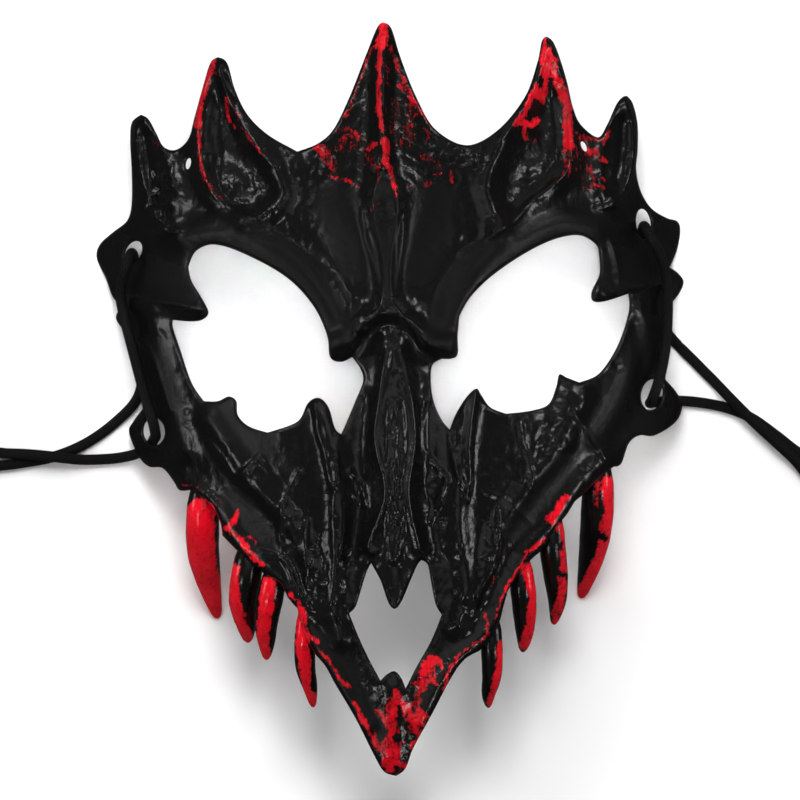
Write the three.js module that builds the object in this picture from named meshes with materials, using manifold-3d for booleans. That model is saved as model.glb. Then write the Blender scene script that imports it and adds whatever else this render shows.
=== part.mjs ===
// A fanged half mask: one moulded plastic shell with five crown spikes, pierced eyes and mouth and
// eight fangs, and a round elastic cord through the two slots on each side.
// Millimetres. The mask lies face up: +X to the viewer's right, +Y to the crown, +Z out of the face,
// and the floor that it lies on is at z = 0.
import * as THREE from 'three';
import Module from 'manifold-3d';
import { mergeVertices } from 'three/addons/utils/BufferGeometryUtils.js';

const wasm = await Module();
wasm.setup();

// Driving sizes of the shell
const WALL = 2.0;
const MASK_WIDTH = 190;
const MASK_HEIGHT = 241;
const CREST_HEIGHT = 72;        // the middle of the brow above the floor
const CROWN_FALL = 12;          // the middle line drops by this much at the crown's tip
const CHIN_FALL = 20;           // and by this much at the chin
const SIDE_FALL = 71;           // the face drops by this much from its middle line to the half width
const SIDE_POWER = 2.2;         // 2 would be a parabola: more keeps the front of the face flatter

// The half width is where the face would reach the floor. It changes from the jaw to the temple.
const LEFT_HALF = { jaw: 86, temple: 96.3, jawAt: -50, templeAt: 70 };
const RIGHT_HALF = { jaw: 101, temple: 94.5, jawAt: -20, templeAt: 45 };

// How finely the shell is faceted
const GRID_STEP = 4;
const SHEET_MARGIN = 6;         // the uncut sheet stands out past the outline by this much
const SIMPLIFY = 0.42;          // the faceted surface may leave the smooth one by this much
const SLOPE_SPAN = 1;           // the width over which a slope is measured
const ROW_DIVISIONS = 2;        // straight steps from one outline point to the next
const OVAL_DIVISIONS = 6;       // half the straight steps round a slot
const RIDGE_DIVISIONS = 4;      // straight steps for each point of a ridge

// Driving sizes of the cords
const CORD_DIAMETER = 3.4;
const CORD_SIDES = 8;
const KNOT_RADIUS = 3.7;
const GAP = 0.3;                // between a cord's end and its knot

const SHELL_COLOUR = 0x17171a;
const CORD_COLOUR = 0x0d0d0e;

const { clamp, lerp, smoothstep } = THREE.MathUtils;

// The outer outline clockwise from the centre spike's tip, a row for each feature. Each row is a smooth
// curve that starts where the row before it ends, so the corners are where rows meet.
const OUTLINE_START = [-2, 120];
const OUTLINE = [
  // centre spike, valley, right middle spike
  [[0.5, 118], [3.5, 108.5], [8.5, 96], [14.5, 86], [24.5, 81], [34.5, 86], [43, 96.5], [47, 107.5],
    [48.5, 114.5], [50, 116]],
  // right middle spike to outer spike
  [[52, 114.5], [54, 110], [56.5, 102], [58.5, 93.5], [61, 88], [66.5, 84], [69.5, 88], [72.5, 94.5],
    [74.5, 97], [76, 97.5]],
  // right outer spike to temple lobe
  [[78, 95], [79.5, 88.5], [79.5, 80], [79, 74], [80.5, 67], [84, 61.5], [89, 58.5], [92.5, 57.5],
    [93.5, 54.5], [92.5, 48.5], [90, 42.5]],
  // right second lobe
  [[92.5, 41], [94.6, 38], [93, 34], [90, 30.5]],
  // right cheekbone
  [[90, 22.5], [89, 14], [88.5, 6.5]],
  // right lower lobe
  [[92, 2.5], [94, -1.5], [92, -7], [85, -11.5], [80, -11.5], [76.5, -14], [74, -20.5], [71.5, -21.5]],
  // right jaw, a row behind each fang
  [[66.5, -25.5], [62, -30], [59, -32.5]],
  [[56.5, -36.5], [54.5, -39], [51, -44], [48, -48.5]],
  [[45, -51], [41, -55.5], [37.5, -61]],
  [[36, -66.5], [35, -70.5], [32.5, -76], [28.5, -80]],
  // right arm to chin
  [[23.5, -83], [19, -89.5], [13.5, -100], [7.5, -111], [5, -117.5], [2, -120]],
  // chin to left arm
  [[-2, -118.5], [-5.5, -112.5], [-11, -101.5], [-17.5, -90.5], [-20.5, -85], [-23.5, -81.5]],
  // left jaw, a row behind each fang
  [[-27, -75.5], [-28.5, -70.5], [-29.5, -66.5]],
  [[-32.5, -63], [-35, -58.5], [-39.5, -56]],
  [[-44, -52.5], [-48.5, -48.5], [-53.5, -43.5]],
  [[-54.5, -38.5], [-58, -33], [-64, -29]],
  // left lower lobe
  [[-67.5, -29], [-69.5, -26], [-73, -22], [-77.5, -21.5], [-81, -18], [-84, -10.5], [-82.5, -7],
    [-79.5, -3]],
  // left cheekbone
  [[-80, 1.5], [-81, 7.5], [-83.5, 16], [-85.5, 22]],
  // left small lobe
  [[-88, 25.5], [-88, 27.5], [-87, 29], [-87.5, 31]],
  // left temple lobe to outer spike
  [[-89.5, 33.5], [-91.5, 39], [-94.5, 45.5], [-93.5, 50], [-89, 54], [-84.5, 57.5], [-83, 63],
    [-83, 73.5], [-83.5, 83], [-83, 89], [-80, 91.5]],
  // left outer spike to middle spike
  [[-77.5, 90], [-75, 85.5], [-72.5, 81], [-68.5, 80], [-64.5, 83.5], [-62.5, 90.5], [-60, 99.5],
    [-57.5, 107.5], [-55, 109.5]],
  // left middle spike to hairline
  [[-52, 107.5], [-49.5, 99], [-45.5, 91], [-39, 84.5], [-29.5, 79]],
  // hairline to centre spike
  [[-23, 81.5], [-18, 86], [-13, 96], [-7.5, 110], [-4, 118.5], [-2, 120]],
];

const LEFT_EYE_START = [-64.5, 42.5];
const LEFT_EYE = [
  // brow
  [[-62, 47.5], [-56, 49.5], [-46.5, 46.5], [-33, 39], [-24.5, 30], [-20, 20.5], [-19, 13.5],
    [-15.5, 12], [-12, 13.5]],
  // side of the nose
  [[-9.5, 10], [-8.5, 6], [-11, -0.5], [-13.5, -6.5], [-15.5, -11]],
  // inner tooth
  [[-17.5, -9], [-19.5, -2.5], [-22.5, 0.5], [-26, -1], [-29.5, -7], [-39, -10.5]],
  // outer tooth
  [[-45, -8.5], [-48.5, -5], [-49, -0.5], [-51.5, 1], [-55, -0.5], [-59.5, -0.5]],
  // cheekbone
  [[-63.5, 5.5], [-67, 15.5], [-69.5, 23], [-69.5, 25.5]],
  // spur
  [[-64, 25], [-60, 25.5], [-58, 28], [-60.5, 33], [-63.5, 38], [-64.5, 42.5]],
];

const RIGHT_EYE_START = [22, 26.5];
const RIGHT_EYE = [
  // brow
  [[25.5, 32.5], [32, 39], [42, 46], [52, 51], [60.5, 52.5], [66, 49.5], [67, 45.5]],
  // spur
  [[67, 40], [64.5, 34.5], [65, 31.5], [69, 31.5], [76.5, 34]],
  // cheekbone
  [[76.5, 28], [73, 17.5], [67, 8.5], [60.5, 5.5]],
  // outer tooth
  [[56.5, 7], [54, 8], [53, 4], [50.5, -1.5], [45, -3.5], [37, -4.5]],
  // inner tooth
  [[32, -2.5], [29, 1.5], [27.5, 3.5], [24.5, 1], [21, -4.5], [19, -9.5]],
  // side of the nose
  [[16.5, -6.5], [14, -1], [13, 5.5], [13.5, 11], [16.5, 13]],
  // corner under the brow
  [[19.5, 13], [21.5, 14.5], [21.5, 20.5], [22, 26.5]],
];

const MOUTH_START = [-6, -52];
const MOUTH = [
  // left notch
  [[-7.5, -55], [-9.5, -61.5], [-11, -66], [-13, -68]],
  // left arm
  [[-10, -75.5], [-6.5, -83], [-3, -89.5]],
  // horn of the chin
  [[-1, -87.5], [1.5, -86.5], [3.5, -88.5], [5, -92]],
  // right arm
  [[8.5, -85], [13, -77], [16.5, -68.5]],
  // right notch
  [[14.5, -65], [13, -57.5], [12, -52.5], [10, -51]],
  // point of the nose
  [[8.5, -53], [5.5, -60], [3.5, -64.5], [1.5, -66.5], [-0.5, -64.5], [-3, -57.5], [-6, -52]],
];

// Round-cornered slots and pinholes: centre, half width, half height, and turn in degrees
const CORD_SLOTS = [
  { at: [-82.4, 47.4], half: [2.5, 3.8], turn: -30 },
  { at: [-75.7, -10.2], half: [3.5, 4.4], turn: 5 },
  { at: [81.4, 56.4], half: [2.4, 4.9], turn: 8 },
  { at: [84.0, 1.6], half: [3.5, 5.0], turn: -12 },
];
const PINHOLES = [
  { at: [-64.5, 75.5], half: [0.8, 1.8], turn: -12 },
  { at: [62.0, 81.0], half: [0.8, 1.7], turn: 25 },
];

// Raised lines of the carving: their height, their width from crest to foot, and their points.
// A negative height is a groove.
const RIDGES = [
  // centre spike: keel, body, and the keel's left and right forks
  { height: 4.0, width: 3.2, points: [[-2.2, 119], [-2.5, 95], [-3, 76]] },
  { height: 5.0, width: 9, points: [[-2, 112], [-2.5, 90], [-1, 66]] },
  { height: 2.6, width: 3.2, points: [[-3, 76], [-5.5, 62], [-3, 48], [-2, 33]] },
  { height: 2.6, width: 3.2, points: [[-3, 76], [2, 64], [2.5, 54], [0.5, 40], [1.5, 28]] },
  // left middle spike: outer edge, inner edge, hollow, and the lump in it
  { height: 2.6, width: 3.2, points: [[-55.5, 107], [-59, 94], [-60, 78], [-56, 64], [-47, 57.5]] },
  {
    height: 2.6,
    width: 3.2,
    points: [[-54, 105], [-48, 90], [-40, 78], [-34, 66], [-40, 58], [-47, 57.5]],
  },
  { height: -3.8, width: 7.5, points: [[-52.5, 92], [-50, 78], [-45, 66]] },
  { height: 2.4, width: 4, points: [[-49, 70], [-42, 62]] },
  // right middle spike: inner edge, outer edge and hollow
  { height: 2.6, width: 3.2, points: [[50, 113], [46, 98], [39, 88], [34, 78], [31, 66], [36, 54]] },
  { height: 2.6, width: 3.2, points: [[51, 112], [56, 94], [58, 78], [53, 68], [44, 61], [33, 54]] },
  { height: -3.8, width: 7.5, points: [[51, 94], [49, 80], [41, 68]] },
  // left outer spike: outer edge, inner edge and the hollow between them
  { height: 2.0, width: 3.2, points: [[-80, 90], [-82, 78], [-80, 66], [-74, 54]] },
  { height: 1.6, width: 3.2, points: [[-78, 89], [-73, 79], [-69, 66], [-70, 55]] },
  { height: -1.6, width: 3.2, points: [[-78.5, 84], [-77.3, 76], [-74.5, 66], [-72.5, 58]] },
  // right outer spike: outer edge, inner edge and the hollow between them
  { height: 2.0, width: 3.2, points: [[76, 95], [78, 84], [77, 72], [73, 63]] },
  { height: 1.6, width: 3.2, points: [[74, 94], [70, 84], [68, 72], [70, 63]] },
  { height: -1.6, width: 3.2, points: [[74.5, 88], [74, 82], [72.5, 72]] },
  // brow bands, and the grooves above them
  { height: 2.4, width: 5.0, points: [[-66, 52], [-56, 54], [-44, 51], [-29, 42], [-19, 30], [-15, 18]] },
  { height: 2.4, width: 5.0, points: [[17.5, 18], [21, 30], [29, 42], [41, 50.5], [54, 56.5], [66, 55]] },
  { height: -0.9, width: 3.2, points: [[-66, 58], [-52, 60.5], [-38, 56], [-24, 46], [-14, 34], [-9, 22]] },
  { height: -0.9, width: 3.2, points: [[12, 24], [16, 36], [24, 48], [36, 57], [50, 64], [64, 62]] },
  // frontal plate, its lower lip, and the hollow under the lip
  { height: 2.6, width: 8, points: [[-1, 62], [-0.5, 30]] },
  {
    height: 4.2,
    width: 3.4,
    points: [[-19, 17], [-14, 19], [-10, 24], [-2, 28], [4, 26.5], [9, 23], [13, 18.5], [19, 17.5]],
  },
  { height: -2.0, width: 3.2, points: [[-14, 12], [-9, 17], [-2, 21.5], [4, 20.5], [9, 16.5], [14, 12]] },
  // bridge and plate of the nose, the plate's two rims, and the grooves beside them
  { height: 4.6, width: 6.5, points: [[1, 18], [1.5, -10], [1.5, -40], [1.5, -66]] },
  { height: 1.8, width: 3.0, points: [[-1, 21], [-4, -12], [-3, -22], [-3, -36], [-6, -47]] },
  { height: 1.8, width: 3.0, points: [[3.5, 21], [8, -8], [6, -28], [8, -42], [9.5, -48]] },
  { height: -1.8, width: 3.2, points: [[-8, 0], [-10, -20], [-10, -38], [-12, -50]] },
  { height: -1.8, width: 3.2, points: [[11, -4], [12, -22], [13, -36], [15, -48]] },
  // strands of the left cheek and of the right one, the inner strand first
  { height: 2.6, width: 3.2, points: [[-22, -2], [-18, -20], [-16, -40], [-18, -62], [-16, -76]] },
  { height: 2.2, width: 3.4, points: [[-58, -6], [-46, -24], [-34, -36], [-26, -52], [-22, -68]] },
  { height: 2.6, width: 3.2, points: [[26, 2], [23, -18], [22, -38], [24, -58], [22, -72]] },
  { height: 2.2, width: 3.4, points: [[62, 0], [54, -16], [44, -28], [34, -44], [28, -62]] },
  // rims of the jaw, left and right
  {
    height: 2.0,
    width: 3.2,
    points: [[-66, -26], [-55, -35], [-48, -46], [-38, -53.5], [-31, -62], [-26, -74], [-18, -86],
      [-8, -104]],
  },
  {
    height: 2.0,
    width: 3.2,
    points: [[70, -18], [60, -28], [52, -40], [42, -51], [35, -64], [29, -76], [18, -87], [10, -103]],
  },
  // cheekbones, left and right
  { height: 2.6, width: 4.0, points: [[-76, 27], [-74, 12], [-70, -2], [-66, -16]] },
  { height: 2.6, width: 4.0, points: [[82, 30], [80, 16], [74, 0], [66, -12]] },
  // shelves of the spurs, left and right
  { height: 2.2, width: 3.2, points: [[-83, 30], [-72, 31], [-62, 29.5]] },
  { height: 2.2, width: 3.2, points: [[86, 36], [76, 37.5], [67, 35.5]] },
  // chin
  { height: 4.0, width: 8, points: [[1.5, -92], [1, -114]] },
];

// Fangs, the left four from the temple to the chin and then the right four: plan points of the centre
// line from root to tip, the root's radius, and how far the tip is below the root
const FANGS = [
  {
    points: [[-59.5, -27], [-60, -38.5], [-60, -48], [-58.5, -57.5], [-55.5, -70.5]],
    radius: 5.4,
    fall: 34.8,
  },
  { points: [[-44, -46], [-46, -57], [-47, -64.5], [-46, -72], [-45.5, -77.5]], radius: 4.9, fall: 22 },
  {
    points: [[-36, -53], [-38, -62.5], [-39.5, -70.5], [-39.5, -77.5], [-39.5, -83]],
    radius: 4.2,
    fall: 20,
  },
  { points: [[-26, -66], [-27, -77], [-27, -85], [-25.5, -92], [-24.5, -98.3]], radius: 3.5, fall: 20 },
  { points: [[66.5, -20], [66.5, -32], [66, -41.5], [64.5, -51.5], [61.5, -64]], radius: 5.3, fall: 37.9 },
  { points: [[51.5, -37], [52, -48], [53, -56.5], [53.5, -64.5], [52.5, -72]], radius: 4.2, fall: 24 },
  { points: [[41, -50], [42.5, -61], [43, -68.5], [43, -75.5], [42.5, -80.5]], radius: 4.1, fall: 20 },
  { points: [[32, -69], [32.5, -80], [32.5, -88], [31.5, -94], [31.5, -98.3]], radius: 3.5, fall: 20 },
];
const FANG_SIDES = 8;
const FANG_BURIED = 0.3;        // share of the root's radius that is inside the shell's wall
const FANG_BEND = 1.6;          // 1 would be a straight fall: more bends the tip back
// A fang's radius along its length, both as shares
const FANG_PROFILE = [
  [0, 0], [0.75, 0.01], [0.95, 0.12], [1, 0.3], [0.93, 0.5], [0.76, 0.68], [0.55, 0.83], [0.36, 0.94],
  [0.2, 0.985], [0, 1],
];

// The route of each cord: from its knot behind the temple up through the upper slot, down the front of
// the cheek, through the lower slot, out along the floor, round a loop and back to the knot. Near the
// edge of the picture one strand rises over the other where they cross.
const CORDS = [
  {
    name: 'left',
    points: [
      [-81.2, 36.1, 9], [-81.9, 41.8, 9.2], [-82.4, 45.4, 12.2], [-82.7, 46.8, 16.4], [-83.1, 46.9, 20.4],
      [-83.5, 45.9, 23], [-84.3, 43.6, 24.3], [-85.2, 40.8, 23.2], [-86, 37.6, 20.3], [-86.5, 33, 18],
      [-85, 25.5, 19.3], [-81.7, 12.7, 21.6], [-78.8, 2, 24.6], [-77, -4, 26.4], [-75.8, -7.9, 26.7],
      [-75.2, -11.1, 24.2], [-75.3, -12.1, 19.8], [-75.7, -12.4, 14.6], [-77, -14.4, 9.4],
      [-81, -17.2, 5.2], [-87, -18.7, 2.8], [-94, -19.3, 2.2], [-100, -19.3, 3.4], [-105, -18.8, 5.3],
      [-112, -18, 5.7], [-118.5, -17.5, 4.4], [-125, -17.2, 2.5], [-133, -15.5, 1.8], [-142, -9.8, 1.8],
      [-153, -6.4, 1.8], [-163.5, -10, 1.8], [-168.5, -19.5, 1.8], [-164, -29.5, 1.8], [-153, -33, 1.8],
      [-141.5, -28, 1.8], [-131.5, -22.4, 1.8], [-120, -20.6, 1.8], [-108.7, -18.5, 1.8],
      [-98, -14.1, 1.8], [-88, -6.9, 1.8], [-81.2, 0.8, 2.3], [-79.3, 12, 3.8], [-80, 25.9, 6.2],
    ],
  },
  {
    name: 'right',
    points: [
      [81.5, 41, 8.6], [80.9, 47.2, 9.8], [80.7, 52.4, 12.8], [81.3, 55.1, 17.2], [81.6, 55.6, 21.6],
      [82.4, 54.4, 24.4], [83.6, 52, 25.7], [85.2, 49.2, 24.6], [86.6, 46.4, 21.6], [87.9, 42.8, 17.6],
      [88.9, 37, 15.2], [89.2, 29, 15.7], [88.5, 17.5, 18.9], [87.3, 10.4, 22.4], [86.3, 6.5, 25.2],
      [85.3, 3.3, 27], [84.4, 0.9, 26.8], [83.8, -0.7, 24.6], [83.5, -1, 21], [83.8, -1.1, 14.6],
      [85.2, -0.9, 9.2], [88.6, -0.5, 4.7], [93, -0.4, 2.2], [99.5, -0.9, 1.8], [108.7, -2.7, 1.8],
      [116.5, -6, 1.8], [124.7, -11.8, 1.8], [131.5, -17, 1.8], [140, -21.2, 1.8], [151.5, -20.5, 1.8],
      [162.5, -23.5, 1.8], [168, -32.5, 1.8], [164.5, -42.5, 1.8], [154, -46, 1.8], [144, -39.5, 1.8],
      [137.2, -29, 2.4], [131.1, -20.3, 4.4], [124.7, -14.2, 5.4], [117, -7.1, 5.8], [110.5, -0.6, 5.2],
      [105, 5.2, 3], [98, 12.3, 1.9], [89.8, 20.8, 2.2], [83.3, 31, 5.5],
    ],
  },
];

function halfWidth(x, y) {
  const { jaw, temple, jawAt, templeAt } = x < 0 ? LEFT_HALF : RIGHT_HALF;
  return lerp(jaw, temple, smoothstep(y, jawAt, templeAt));
}

// Height of the plain curved face, without carving
function faceHeight(x, y) {
  const crest = CREST_HEIGHT - (y > 0 ? CROWN_FALL : CHIN_FALL) * (y / (MASK_HEIGHT / 2)) ** 2;
  return crest - SIDE_FALL * (Math.abs(x) / halfWidth(x, y)) ** SIDE_POWER;
}

// A ridge's points as a smooth curve cut into short straight steps
function traced({ points, height, width }) {
  const curve = new THREE.SplineCurve(points.map(([x, y]) => new THREE.Vector2(x, y)));
  return { line: curve.getPoints(points.length * RIDGE_DIVISIONS), height, width };
}
const TRACED_RIDGES = RIDGES.map(traced);
const TRACED_GROOVES = TRACED_RIDGES.filter(({ height }) => height < 0);

function distanceToLine(x, y, line) {
  let nearest = Infinity;
  for (let i = 1; i < line.length; i += 1) {
    const from = line[i - 1];
    const step = new THREE.Vector2().subVectors(line[i], from);
    const along = clamp(((x - from.x) * step.x + (y - from.y) * step.y) / step.lengthSq(), 0, 1);
    nearest = Math.min(nearest, Math.hypot(x - from.x - along * step.x, y - from.y - along * step.y));
  }
  return nearest;
}

// Height of the face with the given ridges or grooves
function carvedHeight(x, y, ridges) {
  let carved = faceHeight(x, y);
  for (const { line, height, width } of ridges) {
    carved += height * Math.exp(-((distanceToLine(x, y, line) / width) ** 2));
  }
  return carved;
}

// A point of the shell's inner face, which follows the grooves but not the ridges, so that the wall is
// nowhere thinner: the face moved in by the wall, square to the plain surface
function innerPoint(x, y) {
  const d = SLOPE_SPAN / 2;
  const normal = new THREE.Vector3(
    faceHeight(x - d, y) - faceHeight(x + d, y),
    faceHeight(x, y - d) - faceHeight(x, y + d),
    SLOPE_SPAN,
  ).normalize();
  return new THREE.Vector3(x, y, carvedHeight(x, y, TRACED_GROOVES)).addScaledVector(normal, -WALL);
}

function solidOf(geometry) {
  geometry.deleteAttribute('normal');
  geometry.deleteAttribute('uv');
  const merged = mergeVertices(geometry, 1e-4);
  return new wasm.Manifold(new wasm.Mesh({
    numProp: 3,
    vertProperties: new Float32Array(merged.attributes.position.array),
    triVerts: new Uint32Array(merged.index.array),
  }));
}

function geometryOf(solid) {
  const mesh = solid.getMesh();
  const geometry = new THREE.BufferGeometry();
  geometry.setAttribute('position', new THREE.BufferAttribute(mesh.vertProperties, 3));
  geometry.setIndex(new THREE.BufferAttribute(mesh.triVerts, 1));
  geometry.computeVertexNormals();
  return geometry;
}

// The curved sheet of plastic, as wide as the whole mask: a flat box whose vertices are moved
function curvedSheet() {
  const width = MASK_WIDTH + 2 * SHEET_MARGIN;
  const height = MASK_HEIGHT + 2 * SHEET_MARGIN;
  const box = new THREE.BoxGeometry(
    width, height, 1, Math.round(width / GRID_STEP), Math.round(height / GRID_STEP), 1,
  );
  const position = box.attributes.position;
  for (let i = 0; i < position.count; i += 1) {
    const x = position.getX(i);
    const y = position.getY(i);
    if (position.getZ(i) > 0) {
      position.setZ(i, carvedHeight(x, y, TRACED_RIDGES));
    } else {
      const inner = innerPoint(x, y);
      position.setXYZ(i, inner.x, inner.y, inner.z);
    }
  }
  return solidOf(box);
}

// The loop of points of a closed path, without the last one, which repeats the first
function loopOf(path, divisions) {
  return path.getPoints(divisions).slice(0, -1);
}

function rowsLoop(start, rows) {
  const path = new THREE.Path();
  path.moveTo(...start);
  for (const row of rows) {
    path.splineThru(row.map(([x, y]) => new THREE.Vector2(x, y)));
  }
  return loopOf(path, ROW_DIVISIONS);
}

function ovalLoop({ at, half, turn }) {
  const path = new THREE.Path();
  path.absellipse(...at, ...half, 0, 2 * Math.PI, false, THREE.MathUtils.degToRad(turn));
  return loopOf(path, OVAL_DIVISIONS);
}

// The outline with its openings, as a block from the floor up
function outlineBlock() {
  // three.js turns the openings the right way only where the outline itself runs anticlockwise
  const shape = new THREE.Shape(rowsLoop(OUTLINE_START, OUTLINE).reverse());
  const openings = [
    rowsLoop(LEFT_EYE_START, LEFT_EYE),
    rowsLoop(RIGHT_EYE_START, RIGHT_EYE),
    rowsLoop(MOUTH_START, MOUTH),
    ...[...CORD_SLOTS, ...PINHOLES].map(ovalLoop),
  ];
  shape.holes = openings.map((points) => new THREE.Path(points));
  return solidOf(new THREE.ExtrudeGeometry(shape, { depth: 2 * CREST_HEIGHT, bevelEnabled: false }));
}

// A fang: a turned spindle bent along its centre line, with its root under the shell's rim
function fang({ points, radius, fall }) {
  const [rootX, rootY] = points[0];
  const rootZ = faceHeight(rootX, rootY) - WALL - (1 - FANG_BURIED) * radius;
  const last = points.length - 1;
  const line = new THREE.CatmullRomCurve3(points.map(
    ([x, y], i) => new THREE.Vector3(x, y, rootZ - fall * (i / last) ** FANG_BEND),
  ));
  const spindle = new THREE.LatheGeometry(
    FANG_PROFILE.map(([r, t]) => new THREE.Vector2(r * radius, t)), FANG_SIDES,
  );
  const position = spindle.attributes.position;
  const across = new THREE.Vector3(1, 0, 0);
  for (let i = 0; i < position.count; i += 1) {
    const t = clamp(position.getY(i), 0, 1);
    const tangent = line.getTangentAt(t);
    const up = new THREE.Vector3().crossVectors(across, tangent).normalize();
    const side = new THREE.Vector3().crossVectors(tangent, up);
    const point = line.getPointAt(t)
      .addScaledVector(side, position.getX(i))
      .addScaledVector(up, position.getZ(i));
    position.setXYZ(i, point.x, point.y, point.z);
  }
  return solidOf(spindle);
}

// All the space that the mask may fill: what reaches below the floor is cut flat, which gives the
// temple lobes and the two longest fangs the flats that the mask lies on
function aboveFloor() {
  const size = 2 * MASK_HEIGHT;
  return solidOf(new THREE.BoxGeometry(size, size, size).translate(0, 0, size / 2));
}

function maskShell() {
  let solid = curvedSheet().intersect(outlineBlock());
  for (const row of FANGS) {
    solid = solid.add(fang(row));
  }
  return geometryOf(solid.simplify(SIMPLIFY).intersect(aboveFloor()));
}

// A cord's tube. Its steps follow the route's points, which are closest together in the tight bends.
function cordTube(points) {
  const route = new THREE.CatmullRomCurve3(points.map((point) => new THREE.Vector3(...point)));
  route.getUtoTmapping = (u) => u;
  const section = new THREE.Path().absarc(0, 0, CORD_DIAMETER / 2, 0, 2 * Math.PI);
  return new THREE.ExtrudeGeometry(new THREE.Shape(loopOf(section, CORD_SIDES / 2)), {
    steps: points.length - 1,
    extrudePath: route,
    bevelEnabled: false,
  });
}

// The knot that ties a cord's two ends together: an egg that fills the space between them
function cordKnot(points) {
  const first = new THREE.Vector3(...points[0]);
  const last = new THREE.Vector3(...points.at(-1));
  const halfLength = first.distanceTo(last) / 2 - GAP;
  const along = new THREE.Vector3().subVectors(first, last).normalize();
  const turn = new THREE.Quaternion().setFromUnitVectors(new THREE.Vector3(0, 1, 0), along);
  return new THREE.SphereGeometry(KNOT_RADIUS, 12, 8)
    .scale(1, halfLength / KNOT_RADIUS, 1)
    .applyQuaternion(turn)
    .translate(...first.lerp(last, 0.5));
}

function plastic(colour, roughness) {
  return new THREE.MeshStandardMaterial({ color: colour, roughness, metalness: 0 });
}

const mask = new THREE.Group();

const shell = new THREE.Mesh(maskShell(), plastic(SHELL_COLOUR, 0.3));
shell.name = 'mask_shell';
mask.add(shell);

for (const { name, points } of CORDS) {
  const cord = new THREE.Mesh(cordTube(points), plastic(CORD_COLOUR, 0.8));
  cord.name = `${name}_cord`;
  const tie = new THREE.Mesh(cordKnot(points), plastic(CORD_COLOUR, 0.8));
  tie.name = `${name}_knot`;
  mask.add(cord, tie);
}

export default mask;
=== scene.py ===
"""A fanged half mask of glossy black plastic with dry-brushed red, lying face up on a pale floor.

Blender works in metres. The sizes below are in millimetres, as on the real mask, and mm() makes metres of
them. +X is the viewer's right, +Y the crown, +Z out of the face.
"""
import math

import bpy
import numpy as np
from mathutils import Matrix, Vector
from mathutils.geometry import delaunay_2d_cdt
from mathutils.kdtree import KDTree


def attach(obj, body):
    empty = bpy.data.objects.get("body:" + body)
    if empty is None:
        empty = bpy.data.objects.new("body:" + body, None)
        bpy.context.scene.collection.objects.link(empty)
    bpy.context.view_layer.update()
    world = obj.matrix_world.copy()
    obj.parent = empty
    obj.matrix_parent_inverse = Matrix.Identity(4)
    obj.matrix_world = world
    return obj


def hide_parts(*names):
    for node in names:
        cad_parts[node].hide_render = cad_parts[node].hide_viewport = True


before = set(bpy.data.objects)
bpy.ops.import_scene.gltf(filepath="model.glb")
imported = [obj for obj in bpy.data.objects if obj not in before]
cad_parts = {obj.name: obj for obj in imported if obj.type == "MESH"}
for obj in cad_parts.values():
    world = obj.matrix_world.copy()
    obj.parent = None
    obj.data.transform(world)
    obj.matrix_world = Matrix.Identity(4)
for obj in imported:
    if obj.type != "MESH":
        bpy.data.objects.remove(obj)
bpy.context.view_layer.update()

MM = 0.001

# The photograph: 800 pixels a side, the size of one of them on the mask, and the pixel at the origin
PICTURE = 800
PIXEL = 0.3197
PIXEL_AT_ORIGIN = (390.0, 399.6)
VIEW_CENTRE = (3.2, -0.13, 40.0)
CAMERA_DISTANCE = 5000.0
SENSOR = 36.0

# Driving sizes of the shell
WALL = 2.0
MASK_HEIGHT = 241
CREST_HEIGHT = 72               # the middle of the brow above the floor
CROWN_FALL = 12                 # the middle line drops by this much at the crown's tip
CHIN_FALL = 20                  # and by this much at the chin
SIDE_FALL = 71                  # the face drops by this much from its middle line to the half width
SIDE_POWER = 2.2
# Half width of the face at the jaw and at the temple, and the heights y between which it changes
LEFT_HALF = (86, 96.3, -50, 70)
RIGHT_HALF = (101, 94.5, -20, 45)

# How finely the shell is meshed
GRID_STEP = 0.7
RIM_STEP = 0.5                  # along the outline
RIM_ROWS = (0.22, 0.5, 0.85, 1.25)  # rows of points beside the outline, this far in from it
RIM_RADIUS = 1.2                # the front edge is rounded by this much
BACK_STEP = 2.4
GRID_GAP = 0.6                  # the grid starts this share of its step past the last row
LEAST_GAP = 0.93                # a point is left out if a rim is nearer than this share of its own distance
LEAST_WALL = 0.3

# Skin of the carving, in millimetres or as shares
SKIN_DEPTH = 0.20               # depth of its folds where no patch or band says otherwise
PATCH_FOLDS = 0.6               # depth of the folds in a patch of strength 1
PATCH_LUMPS = 0.7               # height of the lumps there
SMOOTHED = 0.72                 # share of both that the smooth bands take away
RIDGE_REACH = 3                 # a ridge ends this many of its widths from its crest
PATCH_EDGE = (0.6, 1.3)         # shares of a patch's half sizes between which it ends
BAND_EDGE = (0.4, 1.6)          # shares of a band's half width between which it ends
BAND_REACH = 3                  # distances from a band are measured as far as this many half widths
SOFT_TOP = 79.5                 # carving higher than this is pressed towards SOFT_RANGE over it
SOFT_RANGE = 2.0

# Fangs
FANG_SIDES = 32
FANG_STEPS = 14                 # steps of the tube from one point of the line to the next
FANG_BURIED = 0.3               # share of the root's radius that is inside the shell's wall
FANG_BEND = 1.6
# A fang's radius along its length, both as shares
FANG_PROFILE = [
    (0, 0), (0.75, 0.01), (0.95, 0.12), (1, 0.3), (0.93, 0.5), (0.76, 0.68), (0.55, 0.83), (0.36, 0.94),
    (0.2, 0.985), (0.02, 1),
]

# Paint, in shares of its thickness and in millimetres
PAINT_MISSED = 0.36             # what the deepest hollows of the skin miss
PAINT_LOST = 0.1                # what is lost everywhere
STROKE_REACH = 1.5              # a stroke or a bare spot is felt this far past its half width
CROWN_THINS = (10, 40)          # heights y between which the paint turns thin
CHIN_THINS = (-85, -95)
CHIN_THINNESS = 0.5
THIN_COVER = 0.58               # how much of the black thin paint covers

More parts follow.
